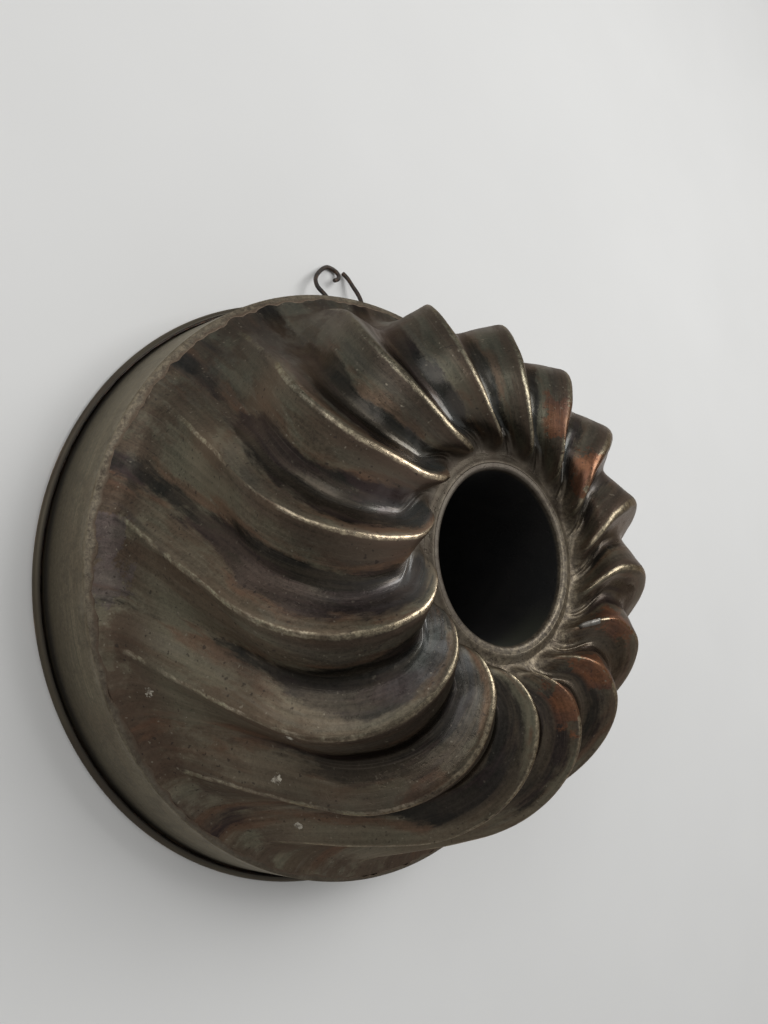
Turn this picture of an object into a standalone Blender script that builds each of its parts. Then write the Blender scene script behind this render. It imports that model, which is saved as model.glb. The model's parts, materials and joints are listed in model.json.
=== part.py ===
"""Turk's head cake mould: a fluted copper dome with swirled ridges, soldered into a plain
band with a wired rim, a tapered centre tube through the crown, and a loose wire loop to
hang it by.

The mould stands dome up on its rim. Its turning axis is vertical and runs through
(0, MOULD_Y). The hanging loop is at +Y and lies down towards the surface that the rim
stands on. The origin is the centre of the whole footprint, loop included, on that surface.
"""

import math

import bmesh
import bpy
from mathutils import Matrix, Vector

# Driving dimensions, in metres and degrees

# Wired rim and band
RIM_RADIUS = 0.1200            # outside of the rolled bead
RIM_WIRE_RADIUS = 0.0008       # iron wire rolled into the bead
BAND_SHEET = 0.0008            # sheet of the band
BAND_HEIGHT = 0.0333           # top edge of the band above the resting plane
BAND_TOP_RADIUS = 0.1132       # outside of the band at its top edge
CURL_STEP = 35.0               # facet angle of the rolled bead
CURL_FACETS = 8                # facets round the wire, open towards the band

# Fluted dome
SHELL_SHEET = 0.0010           # sheet of the fluted dome
FLUTES = 16                    # ridges round the dome
LAP = 0.0110                   # how far the dome's skirt reaches down inside the band
LEDGE_WIDTH = 0.0075           # from the band's top edge in to the foot of the flutes
LEDGE_RISE = 0.0024            # climb of that shoulder
FLANK_TOP_RADIUS = 0.0931      # ridge line where the flank ends and the crown begins
FLANK_TOP_HEIGHT = 0.0792
CROWN_RADIUS = 0.0500          # ridge line at its highest point
CROWN_HEIGHT = 0.1130
NOSE_RADIUS = 0.0385           # tip of a ridge's nose, where its crest ends
NOSE_DROP = 0.0065             # that tip below the crown
FLUTE_DEPTH = 0.0088           # valley below the ridge line, at the shoulder
CROWN_DEPTH = 0.0078           # the same at the crown
LAND_RADIUS = 0.0360           # flat land round the hole of the crown
FLANK_SWIRL = 14.9             # turn of a ridge up the flank
CROWN_SWIRL = 27.8             # turn of a ridge from its foot to the crown
NOSE_SWIRL = 15.0              # turn that is left where the ridge hooks back to its nose
FOOT_SWIRL = 11.0              # and at the foot of the nose
STEEP_SHARE = 0.40             # share of a flute taken by the steep face of its ridge
NOSE_STEEP_SHARE = 0.50        # the same at the nose
BROAD_BOW = 0.35               # bow of the broad face's section, 0 is straight
STEEP_BOW = 0.50               # the same for the steep face
FLANK_PULL = 0.45              # fullness of the shoulder above the flank
CROWN_PULL = 0.49              # fullness of the shoulder beside the crown
NOSE_RUN = 0.0060              # how far a ridge runs on level from the crown to its nose
NOSE_LEAN = 0.0010             # lean of the nose's front just above its tip
NOSE_FRONT = 0.0045            # height of that stretch
FRONT_SAG = 0.0007             # how far the front bulges over its foot, from the tip down
VALLEY_RUN = 0.0050            # how far a valley runs on level inwards from the crown
VALLEY_LEAD = 0.0058           # and along the land at its inner end
SWIRL_BULGE = 8.0              # how much the swirl runs ahead in the shoulder
CROWN_BULGE = 3.4              # and just before the crown
FIRST_RIDGE = 173.0            # where the foot of the first ridge stands, from +X
FLUTE_RUN_IN = 0.85            # share of the flank over which the flutes deepen
FLUTE_START = 1.8              # above 1 they deepen fastest at their feet
SWIRL_EASE = 1.2               # above 1 the ridges leave their feet straight up
NOSE_EASE = 1.3                # turn lost at the start of the hook
LAND_EDGE = 0.0010             # from the flutes' inner ends to the land
FOOT_LIFT = 0.0006             # foot of a nose above the land
VALLEY_LIFT = 0.0003           # inner end of a valley above the land
BRIM_ROUND = 0.15              # shoulder rounding at the band, as shares of its width
BRIM_RISE = 0.45               # and of its climb

FLANK_ROWS = (0.0, 0.08, 0.22, 0.38, 0.56, 0.77)
SHOULDER_ROWS = (0.0, 0.25, 0.50, 0.75, 1.0)
NOSE_ROWS = (0.30, 0.55, 0.78, 1.0)
FRONT_ROWS = (0.5, 1.0)
NOSE_SHARE = 0.72              # share of a valley's inner stretch that lies beside the crest
BROAD_COLUMNS = (0.0, 0.17, 0.40, 0.68)     # shares of the broad face, from its ridge
STEEP_COLUMNS = (1.0, 0.70, 0.42, 0.17)     # shares of the steep face, from its ridge

# Centre tube
TUBE_SHEET = 0.0009
TUBE_TOP_RADIUS = 0.0291       # bore at the crown
TUBE_MOUTH_RADIUS = 0.0232     # bore at the open end inside the mould
TUBE_MOUTH_HEIGHT = 0.0060     # that end above the resting plane
LIP_HEIGHT = 0.1018            # top of the tube's flange
LIP_WIDTH = 0.0028             # flange that lies on the land
LIP_BEND = 0.0008              # bend between flange and tube

# Hanging loop, its strap and the rivets
LOOP_WIRE_RADIUS = 0.0010
EYE_HEIGHT = 0.0130            # hinge axis above the resting plane
EYE_SLACK = 0.00035            # play of the wire in the strap's eye
STRAP_SHEET = 0.0009
STRAP_WIDTH = 0.0080
STRAP_FLAP = 0.0052            # each flap beyond the eye
RIVET_RADIUS = 0.00075
RIVET_HEAD_RADIUS = 0.0016
RIVET_HEAD_HEIGHT = 0.0009
RIVET_TAIL_RADIUS = 0.00136    # hammered end inside the band
RIVET_TAIL_HEIGHT = 0.00054
RIVET_SLACK = 0.0003           # play of the shank in its holes

FIT = 0.0003                   # gap between pieces that touch or are soldered
MERGE = 0.00001
CUTTER_OVERRUN = 0.003         # cutters reach this far past what they cut

ROUND_STEPS = 72               # facets round the band and along the rim wire
RIM_WIRE_FACETS = 6
TUBE_STEPS = 48
RIVET_STEPS = 12
EYE_FACETS = 8
DOME_TURN = 50.0               # where the one facet edge of a rivet's domed end lies

# The loop as bent by hand, from its curled end round to the other end: across the hinge
# axis and out from it, in metres. The middle stretch lies straight in the strap's eye.
LOOP_POINTS = (
    (-0.0015, 0.0202), (0.0014, 0.0224), (0.0025, 0.0256), (0.0006, 0.0280),
    (-0.0034, 0.0283), (-0.0083, 0.0236), (-0.0122, 0.0175), (-0.0128, 0.0120),
    (-0.0101, 0.0079), (-0.0079, 0.0042), (-0.0067, 0.0015), (-0.0052, 0.0001),
    (-0.0042, 0.0), (0.0, 0.0), (0.0042, 0.0), (0.0052, 0.0001),
    (0.0072, 0.0015), (0.0098, 0.0048), (0.0113, 0.0100), (0.0110, 0.0156),
    (0.0093, 0.0208), (0.0078, 0.0252), (0.0056, 0.0282),
)
LOOP_SAMPLES = 2               # points for each stretch between two of these

# Sizes that follow from the driving dimensions
BEAD_RADIUS = RIM_WIRE_RADIUS + FIT + BAND_SHEET
BEAD_FLAT = BEAD_RADIUS * math.cos(math.radians(CURL_STEP / 2))
BEAD_CENTRE_RADIUS = RIM_RADIUS - BEAD_RADIUS
CURL_RADIUS = BEAD_RADIUS - BAND_SHEET / 2
WALL_FOOT_RADIUS = BEAD_CENTRE_RADIUS - CURL_RADIUS + BAND_SHEET / 2
WALL_LEAN = math.atan2(WALL_FOOT_RADIUS - BAND_TOP_RADIUS, BAND_HEIGHT - BEAD_FLAT)
TUBE_HOLE_RADIUS = TUBE_TOP_RADIUS + TUBE_SHEET + LIP_BEND + FIT
LAND_HEIGHT = LIP_HEIGHT - TUBE_SHEET - FIT
EYE_RADIUS = LOOP_WIRE_RADIUS + EYE_SLACK
EYE_OUT = EYE_RADIUS + FIT


def wall_radius(height):
    """Outside of the band at a height above the resting plane."""
    return BAND_TOP_RADIUS + (BAND_HEIGHT - height) * math.tan(WALL_LEAN)


EYE_RADIAL = wall_radius(EYE_HEIGHT) + EYE_OUT / math.cos(WALL_LEAN)
LOOP_REACH = max(out for across, out in LOOP_POINTS)
LOOP_DROOP = math.asin((EYE_HEIGHT - LOOP_WIRE_RADIUS - FIT) / LOOP_REACH)
FOOTPRINT_BACK = EYE_RADIAL + LOOP_REACH * math.cos(LOOP_DROOP) + LOOP_WIRE_RADIUS
MOULD_Y = (RIM_RADIUS - FOOTPRINT_BACK) / 2
MOULD_AXIS = Vector((0.0, MOULD_Y, 0.0))


# Helpers

def clear_scene():
    for obj in list(bpy.data.objects):
        bpy.data.objects.remove(obj, do_unlink=True)


def new_collection(name):
    collection = bpy.data.collections.new(name)
    bpy.context.scene.collection.children.link(collection)
    return collection


def new_material(name, colour, roughness, metallic=1.0):
    material = bpy.data.materials.new(name)
    material.use_nodes = True
    shader = material.node_tree.nodes["Principled BSDF"]
    shader.inputs["Base Color"].default_value = (*colour, 1.0)
    shader.inputs["Roughness"].default_value = roughness
    shader.inputs["Metallic"].default_value = metallic
    material.diffuse_color = (*colour, 1.0)
    return material


def add_object(name, data, collection, material=None):
    obj = bpy.data.objects.new(name, data)
    collection.objects.link(obj)
    if material is not None:
        data.materials.append(material)
    return obj


def shade_round(mesh, angle=35.0):
    mesh.shade_smooth()
    mesh.set_sharp_from_angle(angle=math.radians(angle))


def add_solidify(obj, thickness, offset):
    modifier = obj.modifiers.new("sheet", "SOLIDIFY")
    modifier.thickness = thickness
    modifier.offset = offset


def add_screw(obj, steps):
    modifier = obj.modifiers.new("turn", "SCREW")
    modifier.axis = "Z"
    modifier.angle = math.tau
    modifier.steps = steps
    modifier.render_steps = steps
    modifier.use_merge_vertices = True
    modifier.merge_threshold = MERGE


def add_cut(obj, cutter):
    modifier = obj.modifiers.new("hole", "BOOLEAN")
    modifier.operation = "DIFFERENCE"
    modifier.solver = "EXACT"
    modifier.object = cutter


def profile_mesh(name, points):
    """An open profile in the XZ plane, from its top down, for a Screw modifier."""
    mesh = bpy.data.meshes.new(name)
    edges = [(i, i + 1) for i in range(len(points) - 1)]
    mesh.from_pydata([(radius, 0.0, height) for radius, height in points], edges, [])
    return mesh


def mapped_grid(name, columns, rows, place):
    """A grid of quads whose vertices are moved to place(column, row)."""
    bm = bmesh.new()
    bmesh.ops.create_grid(bm, x_segments=columns, y_segments=rows, size=1.0)
    for vertex in bm.verts:
        column = round((vertex.co.x + 1.0) / 2.0 * columns)
        row = round((vertex.co.y + 1.0) / 2.0 * rows)
        vertex.co = place(column, row)
    bmesh.ops.remove_doubles(bm, verts=bm.verts, dist=MERGE)
    bmesh.ops.recalc_face_normals(bm, faces=bm.faces)
    mesh = bpy.data.meshes.new(name)
    bm.to_mesh(mesh)
    bm.free()
    return mesh


def bezier(a, b, c, d, t):
    """A point of a cubic curve; the points are tuples of any length."""
    s = 1.0 - t
    return tuple(
        s * s * s * p + 3 * s * s * t * q + 3 * s * t * t * r + t * t * t * w
        for p, q, r, w in zip(a, b, c, d)
    )


def mix(a, b, t):
    return a + (b - a) * t


def smooth_step(t):
    t = min(max(t, 0.0), 1.0)
    return t * t * (3.0 - 2.0 * t)


# The fluted dome

def flute_wave(share, steep):
    """Height of a flute's section, 1 on the ridge and 0 in the valley.

    share runs once round the flute from 0 on its ridge, counter-clockwise: first down the
    broad face, then up the steep face of the next ridge.
    """
    broad = 1.0 - steep
    if share <= broad:
        x = share / broad
        return 1.0 - x * (1.0 + BROAD_BOW - BROAD_BOW * x)
    x = (1.0 - share) / steep
    return 1.0 - x * (1.0 + STEEP_BOW - STEEP_BOW * x)


def foot_of_flutes():
    return (BAND_TOP_RADIUS - LEDGE_WIDTH, BAND_HEIGHT + LEDGE_RISE)


def skirt_rows():
    """Plain rows from the bottom of the skirt up inside the band and in over the shoulder."""
    inside = BAND_SHEET / math.cos(WALL_LEAN) + FIT
    bottom = BAND_HEIGHT - LAP
    brim_radius = BAND_TOP_RADIUS - inside
    return [
        (wall_radius(bottom) - inside, bottom),
        (brim_radius, BAND_HEIGHT),
        (brim_radius - BRIM_ROUND * LEDGE_WIDTH, BAND_HEIGHT + BRIM_RISE * LEDGE_RISE),
    ]


def flute_rows():
    """Rows of the fluted part: (ridge, valley, steep share), each end (radius, height, swirl)."""
    foot_radius, foot_height = foot_of_flutes()
    shoulder = (FLANK_TOP_RADIUS, FLANK_TOP_HEIGHT, FLANK_SWIRL)
    crown = (CROWN_RADIUS, CROWN_HEIGHT, CROWN_SWIRL)
    nose = (NOSE_RADIUS, CROWN_HEIGHT - NOSE_DROP, NOSE_SWIRL)
    rise = FLANK_TOP_HEIGHT - foot_height
    lean = (foot_radius - FLANK_TOP_RADIUS) / rise
    over = CROWN_HEIGHT - FLANK_TOP_HEIGHT
    in_deep = FLUTE_DEPTH * math.cos(math.atan(lean))
    down_deep = FLUTE_DEPTH * math.sin(math.atan(lean))
    valley_shoulder = (FLANK_TOP_RADIUS - in_deep, FLANK_TOP_HEIGHT - down_deep)
    valley_crown = (CROWN_RADIUS, CROWN_HEIGHT - CROWN_DEPTH)
    rows = []
    for t in FLANK_ROWS:
        radius = foot_radius - lean * rise * t
        height = foot_height + rise * t
        deep = 1.0 - (1.0 - min(t / FLUTE_RUN_IN, 1.0)) ** FLUTE_START
        ridge = (radius, height, FLANK_SWIRL * t ** SWIRL_EASE)
        valley = (radius - in_deep * deep, height - down_deep * deep)
        rows.append((ridge, valley, STEEP_SHARE))
    for t in SHOULDER_ROWS:
        ridge = bezier(
            shoulder,
            (shoulder[0] - lean * FLANK_PULL * over, shoulder[1] + FLANK_PULL * over,
             FLANK_SWIRL + SWIRL_BULGE),
            (crown[0] + CROWN_PULL * (shoulder[0] - crown[0]), crown[1],
             CROWN_SWIRL + CROWN_BULGE),
            crown, t)
        width = valley_shoulder[0] - valley_crown[0]
        climb = valley_crown[1] - valley_shoulder[1]
        valley = bezier(
            valley_shoulder,
            (valley_shoulder[0] - lean * FLANK_PULL * climb,
             valley_shoulder[1] + FLANK_PULL * climb),
            (valley_crown[0] + CROWN_PULL * width, valley_crown[1]),
            valley_crown, t)
        rows.append((ridge, valley, STEEP_SHARE))
    end = (LAND_RADIUS + LAND_EDGE, LAND_HEIGHT)
    stretches = [(NOSE_SHARE * t, t, 0.0) for t in NOSE_ROWS]
    stretches += [(NOSE_SHARE + (1.0 - NOSE_SHARE) * t, 1.0, t) for t in FRONT_ROWS]
    for along, crest, front in stretches:
        ridge = bezier(
            crown,
            (crown[0] - NOSE_RUN, crown[1], CROWN_SWIRL - NOSE_EASE),
            (nose[0] + NOSE_LEAN, nose[1] + NOSE_FRONT, 0.5 * (CROWN_SWIRL + NOSE_SWIRL)),
            nose, crest)
        if front > 0.0:
            drop = nose[1] - end[1] - FOOT_LIFT
            ridge = (mix(nose[0], end[0], front) + FRONT_SAG * math.sin(math.pi * front),
                     nose[1] - drop * front, mix(NOSE_SWIRL, FOOT_SWIRL, front))
        valley = bezier(
            valley_crown,
            (valley_crown[0] - VALLEY_RUN, valley_crown[1]),
            (end[0] + VALLEY_LEAD, end[1] + VALLEY_LIFT),
            (end[0], end[1] + VALLEY_LIFT), along)
        steep = mix(STEEP_SHARE, NOSE_STEEP_SHARE, smooth_step(crest))
        rows.append((ridge, valley, steep))
    return rows


def land_rows():
    return [(LAND_RADIUS, LAND_HEIGHT), (TUBE_HOLE_RADIUS, LAND_HEIGHT)]


def make_fluted_shell(collection, material):
    skirt, flutes, land = skirt_rows(), flute_rows(), land_rows()
    across = len(BROAD_COLUMNS) + len(STEEP_COLUMNS)

    def place(column, row):
        """Where one vertex of the dome's outside lies, in the mould's own axes."""
        flute, spot = divmod(column, across)
        index = row - len(skirt)
        ridge, valley, steep = flutes[min(max(index, 0), len(flutes) - 1)]
        if spot < len(BROAD_COLUMNS):
            share = BROAD_COLUMNS[spot] * (1.0 - steep)
        else:
            share = 1.0 - STEEP_COLUMNS[spot - len(BROAD_COLUMNS)] * steep
        angle = math.radians(FIRST_RIDGE + ridge[2] + (flute + share) * 360.0 / FLUTES)
        if index < 0:
            radius, height = skirt[row]
        elif index < len(flutes):
            wave = flute_wave(share, steep)
            radius = mix(valley[0], ridge[0], wave)
            height = mix(valley[1], ridge[1], wave)
        else:
            radius, height = land[index - len(flutes)]
        return Vector((radius * math.cos(angle), radius * math.sin(angle), height))

    rows = len(skirt) + len(flutes) + len(land) - 1
    mesh = mapped_grid("fluted_shell", FLUTES * across, rows, place)
    shade_round(mesh)
    shell = add_object("fluted_shell", mesh, collection, material)
    shell.location = MOULD_AXIS
    add_solidify(shell, SHELL_SHEET, -1.0)
    return shell


# The band, its wired rim and the centre tube

def make_band(collection, material):
    top = (BAND_TOP_RADIUS - BAND_SHEET / 2, BAND_HEIGHT)
    first = 270.0 - 2.5 * CURL_STEP
    curl = []
    for step in range(CURL_FACETS + 1):
        angle = math.radians(first + step * CURL_STEP)
        curl.append((BEAD_CENTRE_RADIUS + CURL_RADIUS * math.cos(angle),
                     BEAD_FLAT + CURL_RADIUS * math.sin(angle)))
    mesh = profile_mesh("collar_band", [top] + curl)
    band = add_object("collar_band", mesh, collection, material)
    band.location = MOULD_AXIS
    add_screw(band, ROUND_STEPS)
    add_solidify(band, BAND_SHEET, 0.0)
    return band


def make_rim_wire(collection, material):
    bpy.ops.mesh.primitive_torus_add(
        major_radius=BEAD_CENTRE_RADIUS, minor_radius=RIM_WIRE_RADIUS,
        major_segments=ROUND_STEPS, minor_segments=RIM_WIRE_FACETS,
        location=MOULD_AXIS + Vector((0.0, 0.0, BEAD_FLAT)))
    wire = bpy.context.object
    wire.name = "rim_wire"
    for owner in list(wire.users_collection):
        owner.objects.unlink(wire)
    collection.objects.link(wire)
    wire.data.materials.append(material)
    wire.data.shade_smooth()
    return wire


def make_centre_tube(collection, material):
    half = TUBE_SHEET / 2
    bore = TUBE_TOP_RADIUS + half
    top = LIP_HEIGHT - half
    points = [(bore + LIP_BEND + LIP_WIDTH, top), (bore + LIP_BEND, top)]
    for turn in (45.0, 90.0):
        angle = math.radians(90.0 + turn)
        points.append((bore + LIP_BEND + LIP_BEND * math.cos(angle),
                       top - LIP_BEND + LIP_BEND * math.sin(angle)))
    points.append((TUBE_MOUTH_RADIUS + half, TUBE_MOUTH_HEIGHT))
    mesh = profile_mesh("centre_tube", points)
    tube = add_object("centre_tube", mesh, collection, material)
    tube.location = MOULD_AXIS
    add_screw(tube, TUBE_STEPS)
    add_solidify(tube, TUBE_SHEET, 0.0)
    return tube


# The loop, its strap and the rivets

def wall_frame():
    """Axes on the band's outside below the eye: X across, Y out of the wall, Z up along it."""
    height = EYE_HEIGHT - EYE_OUT * math.sin(WALL_LEAN)
    place = MOULD_AXIS + Vector((0.0, wall_radius(height), height))
    return Matrix.Translation(place) @ Matrix.Rotation(WALL_LEAN, 4, "X")


def eye_place():
    """The hinge axis of the loop, halfway along it."""
    return MOULD_AXIS + Vector((0.0, EYE_RADIAL, EYE_HEIGHT))


def smooth_line(points, samples):
    """Points along a smooth curve through the given ones, both ends kept."""
    line = []
    last = len(points) - 1
    for i in range(last):
        p0, p1 = points[max(i - 1, 0)], points[i]
        p2, p3 = points[i + 1], points[min(i + 2, last)]
        for step in range(samples):
            t = step / samples
            line.append(tuple(
                0.5 * (2 * b + (c - a) * t + (2 * a - 5 * b + 4 * c - d) * t * t
                       + (3 * b - a - 3 * c + d) * t * t * t)
                for a, b, c, d in zip(p0, p1, p2, p3)))
    line.append(points[last])
    return line


def make_loop(collection, material):
    curve = bpy.data.curves.new("hanging_loop", "CURVE")
    curve.dimensions = "3D"
    curve.bevel_depth = LOOP_WIRE_RADIUS
    curve.bevel_resolution = 2
    curve.use_fill_caps = True
    line = smooth_line(LOOP_POINTS, LOOP_SAMPLES)
    spline = curve.splines.new("POLY")
    spline.points.add(len(line) - 1)
    for point, (across, out) in zip(spline.points, line):
        point.co = (across, out, 0.0, 1.0)
    loop = add_object("hanging_loop", curve, collection, material)
    loop.location = eye_place()
    loop.rotation_euler = (-LOOP_DROOP, 0.0, 0.0)
    return loop


def strap_line():
    """Middle line of the strap's section, out of the wall and up along it, bottom to top."""
    flat = FIT + STRAP_SHEET / 2
    round_eye = EYE_RADIUS + STRAP_SHEET / 2
    drop = math.sqrt(round_eye ** 2 - (EYE_OUT - flat) ** 2)
    start = math.atan2(-drop, flat - EYE_OUT)
    line = [(flat, -drop - STRAP_FLAP)]
    for step in range(EYE_FACETS + 1):
        angle = start - 2.0 * start * step / EYE_FACETS
        line.append((EYE_OUT + round_eye * math.cos(angle), round_eye * math.sin(angle)))
    line.append((flat, drop + STRAP_FLAP))
    return line


def rivet_heights():
    """Where the rivets stand up and down the wall from the hinge axis."""
    away = abs(strap_line()[0][1]) - STRAP_FLAP / 2
    return (-away, away)


def make_strap(collection, material, cutters):
    line = strap_line()

    def place(column, row):
        out, up = line[row]
        return Vector(((column - 0.5) * STRAP_WIDTH, out, up))

    mesh = mapped_grid("loop_strap", 1, len(line) - 1, place)
    shade_round(mesh)
    strap = add_object("loop_strap", mesh, collection, material)
    strap.matrix_world = wall_frame()
    add_solidify(strap, STRAP_SHEET, 0.0)
    for cutter in cutters:
        add_cut(strap, cutter)
    return strap


def lay_out(matrix, out, up):
    """Local Z of a rivet points out of the wall."""
    return (matrix @ Matrix.Translation((0.0, out, up))
            @ Matrix.Rotation(-math.pi / 2, 4, "X"))


def make_rivet_cutters(collection):
    cutters = []
    through = FIT + STRAP_SHEET + BAND_SHEET / math.cos(WALL_LEAN)
    length = 2.0 * (through + CUTTER_OVERRUN)
    for number, up in enumerate(rivet_heights(), 1):
        bpy.ops.mesh.primitive_cylinder_add(
            vertices=RIVET_STEPS, radius=RIVET_RADIUS + RIVET_SLACK, depth=length)
        cutter = bpy.context.object
        cutter.name = f"rivet_hole_{number}"
        for owner in list(cutter.users_collection):
            owner.objects.unlink(cutter)
        collection.objects.link(cutter)
        cutter.matrix_world = lay_out(wall_frame(), 0.0, up)
        cutter.hide_render = True
        cutter.display_type = "WIRE"
        cutters.append(cutter)
    return cutters


def rivet_profile():
    """A rivet through strap and band, from its outer head down its axis to its tail."""
    head_seat = FIT + STRAP_SHEET + FIT
    tail_seat = -BAND_SHEET - FIT
    line = [(0.0, head_seat + RIVET_HEAD_HEIGHT)]
    for turn in (DOME_TURN, 0.0):
        angle = math.radians(turn)
        line.append((RIVET_HEAD_RADIUS * math.cos(angle),
                     head_seat + RIVET_HEAD_HEIGHT * math.sin(angle)))
    line += [(RIVET_RADIUS, head_seat), (RIVET_RADIUS, tail_seat)]
    for turn in (0.0, DOME_TURN):
        angle = math.radians(turn)
        line.append((RIVET_TAIL_RADIUS * math.cos(angle),
                     tail_seat - RIVET_TAIL_HEIGHT * math.sin(angle)))
    line.append((0.0, tail_seat - RIVET_TAIL_HEIGHT))
    return line


def make_rivets(collection, material):
    for name, up in zip(("strap_rivet_lower", "strap_rivet_upper"), rivet_heights()):
        rivet = add_object(name, profile_mesh(name, rivet_profile()), collection, material)
        rivet.matrix_world = lay_out(wall_frame(), 0.0, up)
        add_screw(rivet, RIVET_STEPS)


def main():
    clear_scene()
    parts = new_collection("turks_head_cake_mould")
    cutters = new_collection("cutters")
    dark_copper = new_material("browned_copper", (0.105, 0.080, 0.060), 0.42)
    grey_band = new_material("worn_band", (0.160, 0.140, 0.120), 0.45)
    tinned = new_material("tinned_tube", (0.120, 0.115, 0.100), 0.45)
    iron = new_material("dark_iron", (0.045, 0.042, 0.040), 0.60)
    holes = make_rivet_cutters(cutters)
    make_fluted_shell(parts, dark_copper)
    band = make_band(parts, grey_band)
    for hole in holes:
        add_cut(band, hole)
    make_rim_wire(parts, iron)
    make_centre_tube(parts, tinned)
    make_strap(parts, dark_copper, holes)
    make_rivets(parts, iron)
    make_loop(parts, iron)


main()
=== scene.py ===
# %% [markdown]
# A turk's head cake mould: a fluted dome of browned copper with swirled ridges, soldered
# into a plain band with a wired rim, and a tapered tube through its middle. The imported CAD
# model gives every size and place. This script dresses it: finer meshes where the CAD is
# faceted, and node materials for copper that has browned, worn and been scrubbed for years.

# %% Load the model
import json
import math
import random

import bpy
import numpy as np
from mathutils import Matrix, Vector, noise


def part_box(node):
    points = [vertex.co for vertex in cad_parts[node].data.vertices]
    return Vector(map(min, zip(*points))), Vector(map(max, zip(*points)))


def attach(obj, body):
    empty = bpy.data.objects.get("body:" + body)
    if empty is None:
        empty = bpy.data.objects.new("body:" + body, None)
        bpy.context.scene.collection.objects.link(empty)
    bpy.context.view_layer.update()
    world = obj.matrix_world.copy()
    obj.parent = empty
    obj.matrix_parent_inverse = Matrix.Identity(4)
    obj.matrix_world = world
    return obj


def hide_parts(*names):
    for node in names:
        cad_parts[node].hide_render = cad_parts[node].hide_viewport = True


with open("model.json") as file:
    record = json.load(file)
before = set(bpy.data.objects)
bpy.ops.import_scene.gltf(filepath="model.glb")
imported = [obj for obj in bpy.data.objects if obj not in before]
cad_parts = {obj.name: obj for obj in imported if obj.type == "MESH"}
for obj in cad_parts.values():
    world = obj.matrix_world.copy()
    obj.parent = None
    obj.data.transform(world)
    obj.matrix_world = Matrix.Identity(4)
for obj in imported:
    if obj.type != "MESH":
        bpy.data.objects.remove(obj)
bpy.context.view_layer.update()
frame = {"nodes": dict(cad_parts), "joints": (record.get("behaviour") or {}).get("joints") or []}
print("nodes:", ", ".join(sorted(frame["nodes"])))

# %% [markdown]
# The camera comes first. The mould stands dome up, and the photograph was taken from the
# left and fairly close, so the camera looks down at about 50 degrees with the hanging loop
# at the top of the picture. A wide lens close by gives the strong perspective that makes
# the near side of the rim so much larger than the far side of the dome.

# %% Camera
def in_scene(name, data):
    """A new object that holds the data, linked to the scene."""
    made = bpy.data.objects.new(name, data)
    bpy.context.scene.collection.objects.link(made)
    return made


camera = in_scene("camera", bpy.data.cameras.new("camera"))
camera.data.sensor_fit = "VERTICAL"
camera.data.sensor_height = 36.0
camera.data.lens = 26.47
camera.location = (-0.18513, -0.03985, 0.26831)
camera.rotation_euler = [math.radians(angle) for angle in (10.186, -38.764, -0.42)]
bpy.context.scene.camera = camera
print("camera is", round(camera.location.length, 3), "m from the origin")

# %% [markdown]
# A few helpers keep the node graphs short. add() makes a node, sets its properties and fills
# or links its inputs in one call, and the others stand for what every material needs: a
# noise, a soft step from 0 to 1, a layer of colour where a mask is, a bump.

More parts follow.
